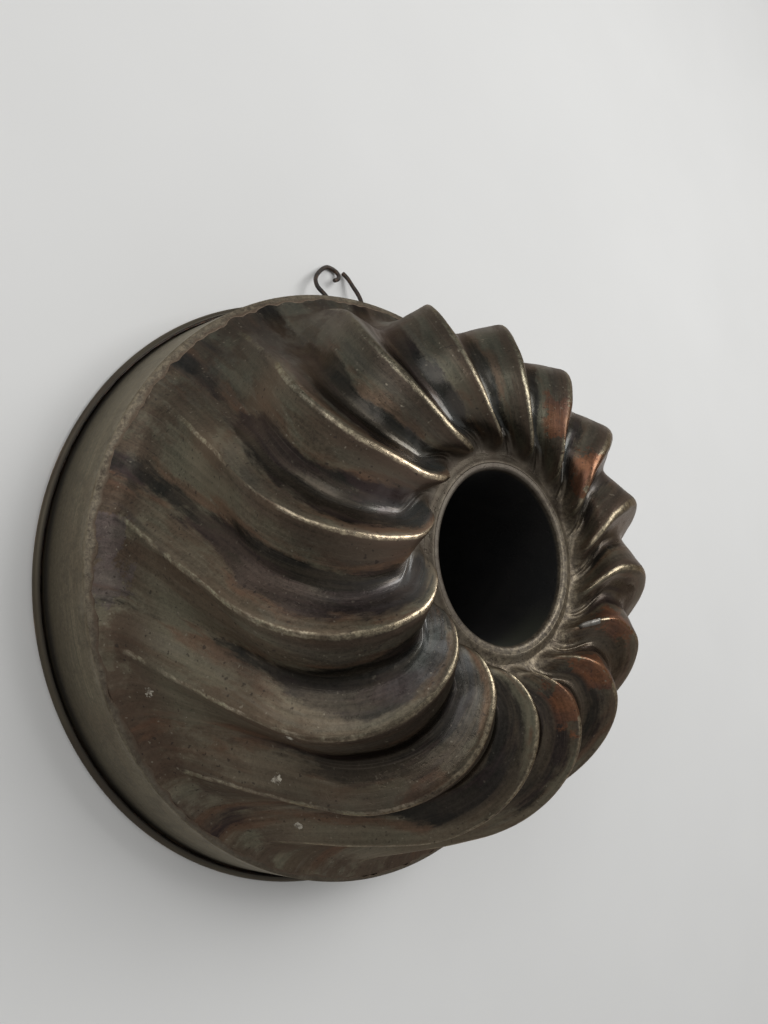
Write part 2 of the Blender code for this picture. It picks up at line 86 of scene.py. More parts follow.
# %% Helpers for node graphs
class Graph:
    """Builds nodes in one node tree."""

    def __init__(self, tree):
        self.tree = tree

    def fill(self, socket, value):
        """Links a socket to another one, or sets its value; a colour has three parts."""
        if isinstance(value, bpy.types.NodeSocket):
            self.tree.links.new(value, socket)
        else:
            socket.default_value = (*value, 1.0) if socket.type == "RGBA" else value

    def add(self, kind, inputs=None, **settings):
        node = self.tree.nodes.new(kind)
        for key, value in settings.items():
            setattr(node, key, value)
        for key, value in (inputs or {}).items():
            self.fill(node.inputs[key], value)
        return node

    def feed(self, shader, **values):
        """Fills the shader's inputs by name, with _ for a space."""
        for key, value in values.items():
            self.fill(shader.inputs[key.replace("_", " ").title()], value)

    def place(self, group, **values):
        """The outputs of a shader group, its inputs given by name."""
        node = self.add("ShaderNodeGroup", node_tree=group)
        for key, value in values.items():
            self.fill(node.inputs[key.capitalize()], value)
        return node.outputs

    def parts(self, vector):
        return self.add("ShaderNodeSeparateXYZ", {0: vector}).outputs

    def here(self):
        """Where a point lies on the object, and that place's three parts."""
        where = self.add("ShaderNodeTexCoord").outputs["Object"]
        return where, self.parts(where)

    def attribute(self, name, output="Vector"):
        return self.add("ShaderNodeAttribute", attribute_name=name).outputs[output]

    def noise(self, vector, scale, detail=4.0, roughness=0.55, distortion=0.0):
        return self.add("ShaderNodeTexNoise", {
            "Vector": vector, "Scale": scale, "Detail": detail, "Roughness": roughness,
            "Distortion": distortion}).outputs["Fac"]

    def uneven(self, vector, scale, detail, roughness):
        """A noise about 0."""
        return self.math("SUBTRACT", self.noise(vector, scale, detail, roughness), 0.5)

    def math(self, operation, a, b=0.0, c=0.0):
        return self.add("ShaderNodeMath", {0: a, 1: b, 2: c}, operation=operation).outputs[0]

    def vector_math(self, operation, a, b):
        return self.add("ShaderNodeVectorMath", {0: a, 1: b}, operation=operation).outputs

    def stretch(self, vector, scale):
        return self.vector_math("MULTIPLY", vector, scale)[0]

    def times(self, *values):
        """The product of two or more masks."""
        total = values[0]
        for value in values[1:]:
            total = self.math("MULTIPLY", total, value)
        return total

    def weigh(self, *terms, start=0.0):
        """The sum of (value, weight) pairs, added to the start."""
        for value, weight in terms:
            start = self.math("MULTIPLY_ADD", value, weight, start)
        return start

    def step(self, value, low, high):
        """0 below low, 1 above high and smooth between; low above high turns it round."""
        return self.add("ShaderNodeMapRange", {
            "Value": value, "From Min": low, "From Max": high},
            interpolation_type="SMOOTHSTEP").outputs["Result"]

    def blend(self, mask, a, b, mode="MIX"):
        """Colour a where the mask is 0, b where it is 1."""
        return self.add("ShaderNodeMix", {0: mask, 6: a, 7: b}, data_type="RGBA",
                        blend_type=mode).outputs[2]

    def layers(self, colour, *layers, mode="MIX"):
        """Lays (mask, amount, tint) over a colour, one after another."""
        for mask, amount, tint in layers:
            colour = self.blend(self.times(mask, amount), colour, tint, mode)
        return colour

    def bump(self, height, strength, distance):
        return self.add("ShaderNodeBump", {
            "Strength": strength, "Distance": distance, "Height": height}).outputs["Normal"]


print("graph helpers ready")

# %% [markdown]
# An effect that several materials share belongs in a shader group, which is made with its
# sockets here, and each material starts from the Principled shader that Blender gives it.

# %% Helpers for groups and materials
def shader_group(name, inputs, outputs):
    """An empty shader group; a name maps to a number, to "Vector" or to "Color"."""
    group = bpy.data.node_groups.new(name, "ShaderNodeTree")
    for direction, sockets in (("INPUT", inputs), ("OUTPUT", outputs)):
        for socket, start in sockets.items():
            kind = start if isinstance(start, str) else "Float"
            made = group.interface.new_socket(socket, in_out=direction,
                                              socket_type="NodeSocket" + kind)
            if kind == "Float" and direction == "INPUT":
                made.default_value = start
    graph = Graph(group)
    return group, graph, graph.add("NodeGroupInput").outputs, graph.add("NodeGroupOutput").inputs


def finish(name):
    """A material with its graph and its Principled shader, ready to be fed."""
    material = bpy.data.materials.new(name)
    material.use_nodes = True
    return material, Graph(material.node_tree), material.node_tree.nodes["Principled BSDF"]


print("group and material helpers ready")

# %% [markdown]
# The mould stands on a pale floor. Two large soft boxes and a pale world stand for a light
# room: the larger one, high on the right, lays the long highlights on the ridges and throws
# the soft shadow to the lower left. The world is palest where the camera sees it, greyer in
# reflections and dimmest as a lamp, so the brown stays as deep as it is written.

# %% Floor, world and lamps
FLOOR_REACH = 6.0
MOULD_MIDDLE = Vector((0.0, 0.0, 0.05))


def plain_floor():
    mesh = bpy.data.meshes.new("floor")
    corners = [(x * FLOOR_REACH, y * FLOOR_REACH, 0)
               for x, y in ((-1, -1), (1, -1), (1, 1), (-1, 1))]
    mesh.from_pydata(corners, [], [(0, 1, 2, 3)])
    material, graph, shader = finish("pale_floor")
    cloud = graph.noise(graph.here()[0], 7.0, 3.0)
    graph.feed(shader, roughness=0.85,
               base_color=graph.blend(cloud, (0.62, 0.62, 0.61), (0.68, 0.68, 0.67)))
    mesh.materials.append(material)
    in_scene("floor", mesh)


def pale_world():
    world = bpy.data.worlds.new("room")
    bpy.context.scene.world = world
    world.use_nodes = True
    graph = Graph(world.node_tree)
    background = world.node_tree.nodes["Background"].inputs
    height = graph.parts(graph.add("ShaderNodeTexCoord").outputs["Generated"])["Z"]
    graph.fill(background["Color"], graph.blend(
        graph.step(height, -0.1, 0.9), (0.36, 0.35, 0.34), (0.51, 0.51, 0.51)))
    ray = graph.add("ShaderNodeLightPath").outputs
    mirrored = graph.math("MAXIMUM", ray["Is Glossy Ray"], ray["Is Transmission Ray"])
    graph.fill(background["Strength"], graph.weigh(
        (ray["Is Camera Ray"], 0.75), (mirrored, 0.20), start=0.80))


def soft_box(name, place, size, power):
    light = bpy.data.lights.new(name, "AREA")
    light.shape = "RECTANGLE"
    light.size, light.size_y = size
    light.energy = power
    lamp = in_scene(name, light)
    lamp.location = place
    lamp.rotation_euler = (MOULD_MIDDLE - Vector(place)).to_track_quat("-Z", "Y").to_euler()


plain_floor()
pale_world()
soft_box("window_box", (0.45, 0.40, 0.95), (0.70, 0.70), 7.5)
soft_box("room_box", (-0.85, 0.55, 0.75), (1.1, 0.8), 5.0)
bpy.context.scene.view_settings.view_transform = "Standard"

# %% [markdown]
# Every round piece turns about the same upright axis, which the band's box gives. The sizes
# below are the CAD model's own, in metres and degrees, so that a new piece lies where the
# CAD one does without any fitting.

# %% Sizes shared by the pieces
RIM_RADIUS = 0.1200
RIM_WIRE_RADIUS = 0.0008
BAND_SHEET = 0.0008
BAND_HEIGHT = 0.0333
BAND_TOP_RADIUS = 0.1132
SHELL_SHEET = 0.0010
FIT = 0.0003
BEAD_RADIUS = RIM_WIRE_RADIUS + FIT + BAND_SHEET
BEAD_CENTRE_RADIUS = RIM_RADIUS - BEAD_RADIUS
CURL_RADIUS = BEAD_RADIUS - BAND_SHEET / 2
WALL_FOOT_RADIUS = BEAD_CENTRE_RADIUS - BEAD_RADIUS + BAND_SHEET
WALL_LEAN = math.atan2(WALL_FOOT_RADIUS - BAND_TOP_RADIUS, BAND_HEIGHT - BEAD_RADIUS)
FLUTES = 16
WOBBLE = 0.00012
band_low, band_high = (np.array(corner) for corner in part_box("collar_band"))
AXIS = (band_low + band_high) / 2 * (1.0, 1.0, 0.0)
print("turning axis at y =", round(AXIS[1], 5), " rim", RIM_RADIUS, " band top", BAND_TOP_RADIUS)

# %% [markdown]
# All the metal here is thin sheet or something turned, so one way of meshing serves for
# nearly all of it: rows of points, joined to quads as a lattice, and then given the
# thickness of the sheet. Subdividing and pushing a ready-made shape could give the same
# look, but points that are worked out from the sizes meet their neighbours exactly.

# %% Helpers for meshes and pieces
def mix(a, b, t):
    return a + (b - a) * t


def ease(t):
    t = np.clip(t, 0.0, 1.0)
    return t * t * (3.0 - 2.0 * t)


def cubic(a, b, c, d, t):
    """Points of a cubic curve through the rows a to d, one for each t."""
    s = 1.0 - t
    weights = (s ** 3, 3 * s * s * t, 3 * s * t * t, t ** 3)
    return sum(np.outer(weight, point) for weight, point in zip(weights, (a, b, c, d)))


def turned_points(radius, angle, height):
    """Points at a radius, an angle and a height about an upright axis."""
    return np.stack(np.broadcast_arrays(radius * np.cos(angle), radius * np.sin(angle), height),
                    axis=-1)


def hand_wobble(angle):
    """How far the round pieces stand off a true circle, since no copper ring is perfect."""
    return WOBBLE * (np.cos(2 * angle + 0.7) + 0.6 * np.cos(3 * angle + 2.0)
                     + 0.4 * np.cos(7 * angle + 4.0))


def lattice(name, points, around=True, flip=False):
    """A mesh of quads over points[row, column]; around joins the last column to the first."""
    rows, columns = points.shape[:2]
    index = np.arange(rows * columns).reshape(rows, columns)
    right = np.roll(index, -1, axis=1)
    quads = np.stack([index[:-1], right[:-1], right[1:], index[1:]], axis=-1)
    if not around:
        quads = quads[:, :-1]
    quads = quads.reshape(-1, 4)
    if flip:
        quads = quads[:, ::-1]
    mesh = bpy.data.meshes.new(name)
    mesh.from_pydata(points.reshape(-1, 3).tolist(), [], quads.tolist())
    mesh.shade_smooth()
    return mesh


def put_attribute(mesh, name, values, kind="FLOAT_VECTOR", part="vector"):
    """Stores a vector or a number for each vertex, for the materials to read."""
    layer = mesh.attributes.new(name, kind, "POINT")
    layer.data.foreach_set(part, np.asarray(values, dtype=np.float32).ravel())


def sheet(piece, thickness, offset, inside=0):
    """Gives an open surface the thickness of sheet metal; inside is its second material."""
    modifier = piece.modifiers.new("sheet", "SOLIDIFY")
    modifier.thickness = thickness
    modifier.offset = offset
    modifier.material_offset = inside


def dress(piece, body, replaced, materials):
    """Gives a piece its materials, says which body it rides on, and hides the CAD nodes that it
    stands for."""
    for material in materials:
        piece.data.materials.append(material)
    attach(piece, body)
    if replaced:
        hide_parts(*replaced)
    return piece


print("a turned ring of 8 points spans", round(float(
    np.ptp(turned_points(RIM_RADIUS, np.arange(8) * math.tau / 8, 0.0)[:, 0])), 3), "m")

# %% [markdown]
# Tarnish is never one colour. Soft clouds of brown and olive lie over each other, and the
# metal is streaked where it was wiped along its curves. The same nodes could be laid out
# again in each material. A shader group with its own sliders is built once, and a material
# only chooses how much it wants of it.

# %% Shader groups: clouds and streaks
def make_clouds():
    """Ragged tarnish: wide clouds and small blotches with crisp edges."""
    group, graph, given, out = shader_group(
        "tarnish_clouds", {"Vector": "Vector", "Scale": 30.0, "Seed": 0.0},
        {"Cloud": 0.0, "Blotch": 0.0})
    seed = graph.add("ShaderNodeCombineXYZ", {0: given["Seed"]}).outputs[0]
    where = graph.vector_math("ADD", given["Vector"], seed)[0]
    cloud = graph.noise(where, given["Scale"], 5.0, 0.58, 0.6)
    finer = graph.noise(where, graph.times(given["Scale"], 3.3), 8.0, 0.68, 0.8)
    graph.fill(out["Cloud"], graph.step(cloud, 0.36, 0.64))
    graph.fill(out["Blotch"], graph.step(finer, 0.52, 0.58))
    return group


def make_streaks():
    """Wiping marks that run along the third axis of the vector it is given."""
    group, graph, given, out = shader_group(
        "wiped_streaks", {"Vector": "Vector", "Across": 420.0, "Along": 16.0},
        {"Streak": 0.0, "Scratch": 0.0})
    thin = graph.add("ShaderNodeCombineXYZ", {
        0: given["Across"], 1: given["Across"], 2: given["Along"]}).outputs[0]
    where = graph.stretch(given["Vector"], thin)
    broad = graph.noise(where, 1.0, 4.0, 0.6, 0.3)
    lines = graph.noise(graph.stretch(where, (4.0, 4.0, 0.7)), 1.0, 2.0, 0.5, 0.2)
    graph.fill(out["Streak"], graph.step(broad, 0.35, 0.68))
    graph.fill(out["Scratch"], graph.step(lines, 0.60, 0.72))
    return group


CLOUDS, STREAKS = make_clouds(), make_streaks()
print("groups:", ", ".join(group.name for group in bpy.data.node_groups))

# %% [markdown]
# Old sheet metal is dented, pitted and grainy. Real displacement would need millions of
# faces for marks this fine, so they are one height, which a Bump node turns into normals.
# Grime sits on them as a fine mottle of light and dark points.

# %% Shader groups: marks and mottle
def make_surface():
    """Pits, hammer marks and a fine grain as one height, for a Bump node."""
    group, graph, given, out = shader_group(
        "old_sheet", {"Vector": "Vector", "Hammer": 0.5, "Pits": 0.5, "Grain": 0.5},
        {"Height": 0.0})
    hammer = graph.noise(given["Vector"], 85.0, 2.0, 0.5)
    pits = graph.step(graph.noise(given["Vector"], 520.0, 3.0, 0.6), 0.44, 0.30)
    grain = graph.noise(given["Vector"], 1500.0, 3.0, 0.6)
    total = graph.math("SUBTRACT", graph.times(hammer, given["Hammer"]),
                       graph.times(pits, given["Pits"]))
    graph.fill(out["Height"], graph.weigh((grain, given["Grain"]), start=total))
    return group


def make_mottle():
    """Light and dark points of about a millimetre."""
    group, graph, given, out = shader_group("fine_mottle", {"Vector": "Vector"}, {"Mottle": 0.0})
    graph.fill(out["Mottle"], graph.step(
        graph.noise(given["Vector"], 760.0, 5.0, 0.85), 0.24, 0.76))
    return group


def marked(graph, where, strength, distance, **marks):
    """Normals from the pits, hammer marks and grain alone."""
    return graph.bump(graph.place(SURFACE, vector=where, **marks)["Height"], strength, distance)


SURFACE, MOTTLE = make_surface(), make_mottle()
print("groups:", ", ".join(group.name for group in bpy.data.node_groups))

# %% [markdown]
# Solder and worn tin share one skin, brown-grey with paler grains where it is rubbed. Which
# side is rubbed could be said again in each material. As a group of its own it stays the
# same side for dome, tube and solder.

# %% Shader groups: old solder
def make_rubbed_side():
    """The side of the crown that is rubbed bright."""
    group, graph, given, out = shader_group("rubbed_side", {"Vector": "Vector"}, {"Rubbed": 0.0})
    spot = graph.parts(given["Vector"])
    graph.fill(out["Rubbed"], graph.step(
        graph.math("SUBTRACT", spot[0], spot[1]), -0.02, 0.06))
    return group


def make_solder_skin():
    """Colour of old solder and worn tin: brown-grey, with paler grains where it is rubbed."""
    group, graph, given, out = shader_group(
        "solder_skin", {"Vector": "Vector", "Rubbed": 0.5}, {"Skin": "Color"})
    clouds = graph.place(CLOUDS, vector=given["Vector"], scale=60.0, seed=2.0)
    grains = graph.step(graph.noise(given["Vector"], 520.0, 7.0, 0.82), 0.40, 0.68)
    graph.fill(out["Skin"], graph.layers(
        graph.blend(clouds["Cloud"], (0.056, 0.045, 0.034), (0.094, 0.080, 0.062)),
        (clouds["Blotch"], 0.5, (0.046, 0.034, 0.026)),
        (grains, given["Rubbed"], (0.245, 0.205, 0.145))))
    return group


RUBBED_SIDE, SOLDER_SKIN = make_rubbed_side(), make_solder_skin()
print("groups:", ", ".join(group.name for group in bpy.data.node_groups))

# %% [markdown]
# The dome's copper is the main finish, so it is built in steps. A painted picture could give
# it its colours, but it would stretch on the flutes and stay as coarse as its pixels, while
# nodes follow the metal at any scale. The mesh carries two vectors for each vertex: flow
# says where it lies along and across its flute, so that marks follow the swirl, and flute
# holds three masks, the height within the flute, the climb from foot to hole and the steep,
# dark side. Two helpers come first: patches drawn out along the flutes, and spots about
# places on the mould, such as where painted light lies or where drops of paint have dried.

# %% Browned copper: where things are
RED_PLACES = ((0.021, 0.036, 0.1125), (0.035, 0.020, 0.113), (0.047, -0.035, 0.111),
              (0.031, -0.049, 0.112), (0.016, -0.059, 0.110))
# Painted light: round this place near the crown the dome's colour is made twice as bright.
PAINTED_LIGHT_PATCH = ((-0.043, -0.006, 0.109),)
SMOKED_PLACES = ((-0.0425, -0.0690, 0.1010), (-0.0535, -0.0830, 0.0840))
# Painted light: round these spots, three on the flank and one near the crown, the colour is made
# lighter.
PAINTED_LIGHT_SPOTS = ((-0.0895, 0.0160, 0.0675), (-0.0905, 0.0010, 0.0710), (-0.0763, 0.0330, 0.0755),
                (-0.0279, 0.0332, 0.1060))
PLUM_PLACES = ((-0.1077, -0.008, 0.0360), (-0.1070, -0.020, 0.0361))
PAINT_DROPS = ((-0.0941, -0.0539, 0.0411), (-0.06491, -0.0789, 0.0675),
               (-0.04671, -0.0973, 0.0518), (-0.07168, -0.0651, 0.0852))

browned_copper, copper, copper_shader = finish("browned_copper")
where, spot = copper.here()
flow = copper.attribute("flow")
wave, climb, side = copper.parts(copper.attribute("flute"))


def patches(across, along, low, high, seed):
    """Ragged patches drawn out along the flutes."""
    there = copper.vector_math("ADD", copper.stretch(flow, (across, across, along)),
                               (seed, 0.0, seed))[0]
    return copper.step(copper.noise(there, 1.0, 7.0, 0.60, 0.5), low, high)


def spots(places, inner, outer, ragged=0.0):
    """1 within the inner distance of a place and 0 beyond the outer one; a noise in metres
    breaks up the edge."""
    mask = 0.0
    for place in places:
        away = copper.vector_math("DISTANCE", where, place)["Value"]
        mask = copper.math("MAXIMUM", mask, copper.step(
            copper.math("ADD", away, ragged), outer, inner))
    return mask


clouds = copper.place(CLOUDS, vector=where, scale=21.0, seed=3.1)
small = copper.place(CLOUDS, vector=where, scale=80.0, seed=7.7)
streaks = copper.place(STREAKS, vector=flow, across=160.0, along=15.0)
fine = copper.place(STREAKS, vector=flow, across=620.0, along=24.0)
lump = copper.uneven(where, 160.0, 6.0, 0.7)
edge = copper.noise(copper.stretch(flow, (95.0, 95.0, 36.0)), 1.0, 7.0, 0.68)
front = copper.step(copper.math("SUBTRACT", spot[0], spot[1]), 0.020, 0.050)
# Painted shade: the side towards the loop is made darker and bluer.
loop_side_painted_shade = copper.step(spot[1], 0.005, 0.070)
# Painted light on the lower flank on one side, which also has fewer dark hollows and patches.
less_tarnish_painted_light = copper.times(copper.step(spot[1], 0.005, -0.045), copper.step(climb, 0.62, 0.40))
print("places:", len(copper.tree.nodes), "nodes so far")

# %% [markdown]
# The broad faces come first: brown and olive in wide clouds, wiped lighter along the swirl,
# with drawn-out patches of liver brown and ash grey. The foot is darker, and two
# plum-coloured stains lie beside the band. One noise through a colour ramp could hold all
# these tints, but then they would always lie side by side in the same order. As layers, each
# has its own mask and lies over the last.

# %% Browned copper: broad faces
brown = patches(62.0, 20.0, 0.49, 0.57, 2.0)
grey = patches(85.0, 22.0, 0.54, 0.60, 17.0)
foot = copper.times(copper.step(climb, 0.15, 0.02),
                    copper.step(copper.noise(where, 48.0, 8.0, 0.66), 0.40, 0.52))
plum = spots(PLUM_PLACES, 0.0068, 0.0088, copper.times(lump, 0.032))
colour = copper.layers(
    copper.blend(clouds["Cloud"], (0.102, 0.078, 0.056), (0.110, 0.101, 0.073)),
    (streaks["Streak"], 0.50, (0.165, 0.142, 0.106)),
    (brown, 0.60, (0.080, 0.053, 0.037)),
    (grey, 0.40, (0.130, 0.115, 0.092)),
    (foot, 0.75, (0.060, 0.038, 0.028)),
    (plum, 0.55, (0.086, 0.070, 0.074)))
print("faces:", len(copper.tree.nodes), "nodes so far")

# %% [markdown]
# The hollows are black and purple, since no cloth reaches them. Near the crown a painted
# sheen lies in them: a blue-grey painted reflection on one side, and brown on the other.
# Ambient occlusion could find them, but not which side of a flute is dark. So their edge is
# a sum: deep in the flute, on its steep side and further up all count for dark, and noise
# makes it ragged. A fringe of rust brown lines it.

# %% Browned copper: hollows
depth = copper.weigh(
    (wave, -0.75), (side, 0.35), (edge, 1.25), (copper.noise(where, 17.0, 2.0), 0.70),
    (copper.step(climb, 0.12, 0.52), 0.42),
    (copper.times(copper.step(spot[1], -0.03, -0.09), copper.step(climb, 0.30, 0.55)), 0.08),
    (less_tarnish_painted_light, -0.16), start=-0.58)
hollow = copper.step(depth, 0.58, 0.80)
fringe = copper.times(copper.step(depth, 0.34, 0.56), copper.step(depth, 0.82, 0.66),
                      patches(88.0, 30.0, 0.46, 0.58, 23.0))
# Painted sheen near the crown: a blue-grey painted reflection in the hollows on one side, brown
# on the other.
painted_sheen_and_brown = copper.times(copper.step(climb, 0.66, 0.88), copper.step(side, 0.3, 0.9))
scuff = patches(110.0, 18.0, 0.45, 0.58, 31.0)
night = copper.layers(
    copper.blend(small["Cloud"], (0.010, 0.011, 0.012), (0.027, 0.023, 0.021)),
    (brown, 0.5, (0.040, 0.025, 0.029)),
    (painted_sheen_and_brown, 0.70, copper.blend(front, (0.044, 0.051, 0.053), (0.038, 0.030, 0.026))),
    (scuff, copper.weigh((front, 0.45), start=0.30), (0.088, 0.068, 0.050)))
dark = copper.times(patches(62.0, 14.0, 0.52, 0.64, 9.0),
                    copper.weigh((less_tarnish_painted_light, -0.6), start=1.0))
colour = copper.layers(
    colour,
    (fringe, 0.65, (0.105, 0.056, 0.036)),
    (hollow, 0.90, night),
    (dark, 0.52, (0.034, 0.029, 0.028)))
print("hollows:", len(copper.tree.nodes), "nodes so far")

# %% [markdown]
# The ridges are rubbed through to pale metal: a thin, broken line low down, and a wider band
# near the crown, where hands hold the mould. That wider band and its paler tint near the
# crown are also a painted highlight. Beside it the face is ruddy, and painted shade makes it
# dark brown just below the crown. A few ridges on one side show red copper. Geometry's
# Pointiness is the usual mask for worn edges, but it is uneven on a hammered mesh, so the
# height within the flute, roughened by noise, says where the metal is worn.

# %% Browned copper: rubbed ridges
ragged = copper.uneven(flow, 380.0, 8.0, 0.78)
crest = copper.weigh((ragged, 0.12), start=wave)
thin = copper.times(copper.step(crest, 0.957, 0.992), copper.step(climb, 0.0, 0.04),
                    copper.step(copper.noise(flow, 90.0, 6.0, 0.7), 0.40, 0.58))
# The wider band near the crown is worn metal and partly a painted highlight.
wide = copper.weigh((copper.step(climb, 0.88, 0.70), -0.014), start=crest)
wide = copper.times(copper.step(wide, 0.945, 1.0), copper.step(climb, 0.45, 0.72))
worn = copper.times(copper.math("MAXIMUM", thin, wide), copper.step(climb, 0.97, 0.92))
ruddy = copper.times(copper.step(crest, 0.62, 0.92), copper.step(side, 0.6, 0.2),
                     copper.step(climb, 0.10, 0.70))
# Painted shade: the broad face is made dark brown just below the crown.
painted_shade_below_crown = copper.times(copper.step(copper.weigh((edge, 0.6), start=climb), 0.74, 0.92),
                     copper.step(side, 0.60, 0.20), copper.step(wave, 0.32, 0.62),
                     copper.step(climb, 0.95, 0.88), copper.weigh((loop_side_painted_shade, -0.65), start=1.0))
pale = copper.blend(small["Cloud"], (0.31, 0.290, 0.210), (0.34, 0.290, 0.230))
# Colour of the worn metal; near the crown it turns paler as a painted highlight.
bright = copper.blend(copper.step(climb, 0.40, 0.80), pale, (0.42, 0.340, 0.240))
bright = copper.blend(copper.step(copper.noise(where, 700.0, 4.0, 0.75), 0.60, 0.38),
                      bright, (0.185, 0.150, 0.112))
red = copper.times(spots(RED_PLACES, 0.0072, 0.0094, copper.times(lump, 0.034)),
                   copper.step(wave, 0.20, 0.50))
red_copper = copper.blend(small["Cloud"], (0.190, 0.078, 0.040), (0.120, 0.056, 0.038))
colour = copper.layers(
    colour,
    (ruddy, 0.70, (0.098, 0.062, 0.043)),
    (painted_shade_below_crown, 0.64, (0.046, 0.034, 0.028)),
    (worn, 0.90, bright),
    (red, 0.85, red_copper))
print("ridges:", len(copper.tree.nodes), "nodes so far")

# %% [markdown]
# Grime, painted shade and painted light lie over all of that. A fine mottle darkens or
# lightens each point, wiping streaks lighten it, and smoked places and the shoulder are
# darker. Painted shade darkens the side towards the loop. Painted light brightens a patch
# near the crown, a few spots on the flank and one on the crown, and the lower flank on one
# side. Each tint could be mixed again for this, but one colour that multiplies all of them
# keeps their order. Small specks and a few fine scratches lie over it.

# %% Browned copper: grime, painted light and shade, and specks
mottle = copper.place(MOTTLE, vector=where)["Mottle"]
# Besides the mottle and the wiping streaks, this multiplying colour holds painted shade and
# painted light.
shade = copper.layers(
    copper.blend(mottle, (0.385, 0.415, 0.405), (1.13, 1.18, 1.13)),
    (fine["Streak"], 0.45, (1.45, 1.42, 1.36)),
    (loop_side_painted_shade, 0.56, (0.32, 0.46, 0.53)),
    (spots(PAINTED_LIGHT_PATCH, 0.014, 0.036), 0.78, (2.0, 2.0, 1.95)),
    (spots(PAINTED_LIGHT_SPOTS, 0.006, 0.022, copper.times(edge, 0.010)), 0.70, (1.45, 1.43, 1.36)),
    (less_tarnish_painted_light, 0.28, (1.45, 1.43, 1.38)))
shoulder = copper.times(copper.step(climb, 0.34, 0.50), copper.step(climb, 0.84, 0.72),
                        copper.weigh((loop_side_painted_shade, -1.0), start=1.0))
colour = copper.layers(
    copper.blend(1.0, colour, shade, "MULTIPLY"),
    (spots(SMOKED_PLACES, 0.024, 0.050, copper.times(edge, 0.030)), 0.75, (0.62, 0.61, 0.61)),
    (shoulder, 0.5, (0.80, 0.79, 0.78)), mode="MULTIPLY")
speck = copper.noise(where, 640.0, 1.0, 0.6)
scratch = copper.times(fine["Scratch"], copper.step(
    copper.noise(flow, 40.0, 4.0, 0.6), 0.48, 0.60))
colour = copper.layers(
    colour,
    (copper.step(speck, 0.70, 0.78), copper.weigh((hollow, -0.35), start=0.55),
     (0.22, 0.195, 0.150)),
    (copper.step(speck, 0.33, 0.25), 0.65, (0.024, 0.020, 0.018)),
    (scratch, 0.10, (0.25, 0.22, 0.18)))
print("grime:", len(copper.tree.nodes), "nodes so far")

# %% [markdown]
# Round the hole the copper is tinned over with old solder. Drops of paint have dried low
# down on one side, and a few grains of dust lie anywhere. A noise cut high could make
# grains, but of every size. A Voronoi pattern has one middle to a cell, and a random colour
# for each cell picks the few that hold a grain.

# %% Browned copper: solder, paint and dust
tinned = copper.weigh((wave, -0.05), (edge, 0.06), start=climb)
tinned = copper.step(tinned, 0.925, 0.965)
rubbed_skin = copper.place(SOLDER_SKIN, vector=where, rubbed=copper.place(
    RUBBED_SIDE, vector=where)["Rubbed"])["Skin"]
crumb = copper.uneven(where, 620.0, 5.0, 0.75)
paint = spots(PAINT_DROPS, 0.00102, 0.00132, copper.weigh((lump, 0.0018), (crumb, 0.0060)))
cell = copper.add("ShaderNodeTexVoronoi", {"Vector": where, "Scale": 95.0}).outputs
dust = copper.times(copper.step(cell["Distance"], 0.030, 0.020),
                    copper.step(copper.parts(cell["Color"])[0], 0.86, 0.87))
off_white = copper.blend(copper.step(crumb, 0.06, -0.10), (0.16, 0.14, 0.11),
                         (0.42, 0.39, 0.32))
colour = copper.layers(colour, (tinned, 0.92, rubbed_skin))
colour = copper.blend(copper.math("MAXIMUM", paint, dust), colour, off_white)
print("colour:", len(copper.tree.nodes), "nodes so far")

# %% [markdown]
# Shine follows the same masks. Rubbed ridges are bare metal. The hollows are more metallic
# than the faces as well, since a dark metal gives back less of the room than a dark varnish
# does. A skin of grease near the crown is a thin coat, because a lower roughness alone would
# make all the metal there a mirror. The bump adds ripples of the hammer along the flutes and
# the torn edge of the worn ridges, which are too small to be worth vertices.

# %% Browned copper: shine and bumps
sunken = copper.times(hollow, copper.math("SUBTRACT", 1.0, copper.step(climb, 0.76, 0.90)))
grease = copper.times(hollow, copper.step(climb, 0.55, 0.85),
                      copper.step(small["Cloud"], 0.0, 0.8), copper.step(tinned, 1.0, 0.0),
                      copper.weigh((front, -0.4), start=0.5))
ripple = copper.noise(copper.stretch(flow, (230.0, 230.0, 75.0)), 1.0, 4.0, 0.6, 0.4)
upper = copper.step(climb, 0.25, 0.80)
height = copper.weigh(
    (fine["Scratch"], -0.04), (brown, 0.05), (dark, 0.05), (paint, 0.4),
    (ripple, copper.weigh((upper, 0.55), start=0.12)),
    (ragged, copper.times(copper.step(wave, 0.80, 0.98), 0.3)),
    start=copper.place(SURFACE, vector=where, hammer=1.2, pits=0.14, grain=0.08)["Height"])
copper.feed(
    copper_shader, base_color=colour,
    roughness=copper.weigh((upper, -0.13), (brown, 0.10), (hollow, -0.08), (worn, -0.08),
                           (paint, 0.2), (tinned, 0.16), start=0.44),
    metallic=copper.weigh((worn, 0.34), (paint, -0.6), (sunken, 0.18), start=0.66),
    specular_tint=(0.60, 0.50, 0.43), coat_weight=grease, coat_roughness=0.20,
    normal=copper.bump(height, 0.6, 0.0004))
print(browned_copper.name, "has", len(copper.tree.nodes), "nodes")

# %% [markdown]
# The lining is tinned, since bare copper would taint a cake: grey, dull and darker in clouds
# where the tin has gone. It could be a second mesh inside the first. As the second material
# of the same sheet it needs none.

# %% Old tin
def make_old_tin():
    material, graph, shader = finish("old_tin")
    where, _ = graph.here()
    clouds = graph.place(CLOUDS, vector=where, scale=38.0, seed=1.3)
    graph.feed(
        shader, metallic=0.8, roughness=graph.weigh((clouds["Cloud"], 0.15), start=0.42),
        base_color=graph.layers(
            graph.blend(clouds["Cloud"], (0.235, 0.225, 0.205), (0.155, 0.140, 0.118)),
            (clouds["Blotch"], 0.5, (0.085, 0.068, 0.052))),
        normal=marked(graph, where, 0.5, 0.0003, hammer=0.8, pits=0.5, grain=0.10))
    return material


old_tin = make_old_tin()
print("made", old_tin.name)

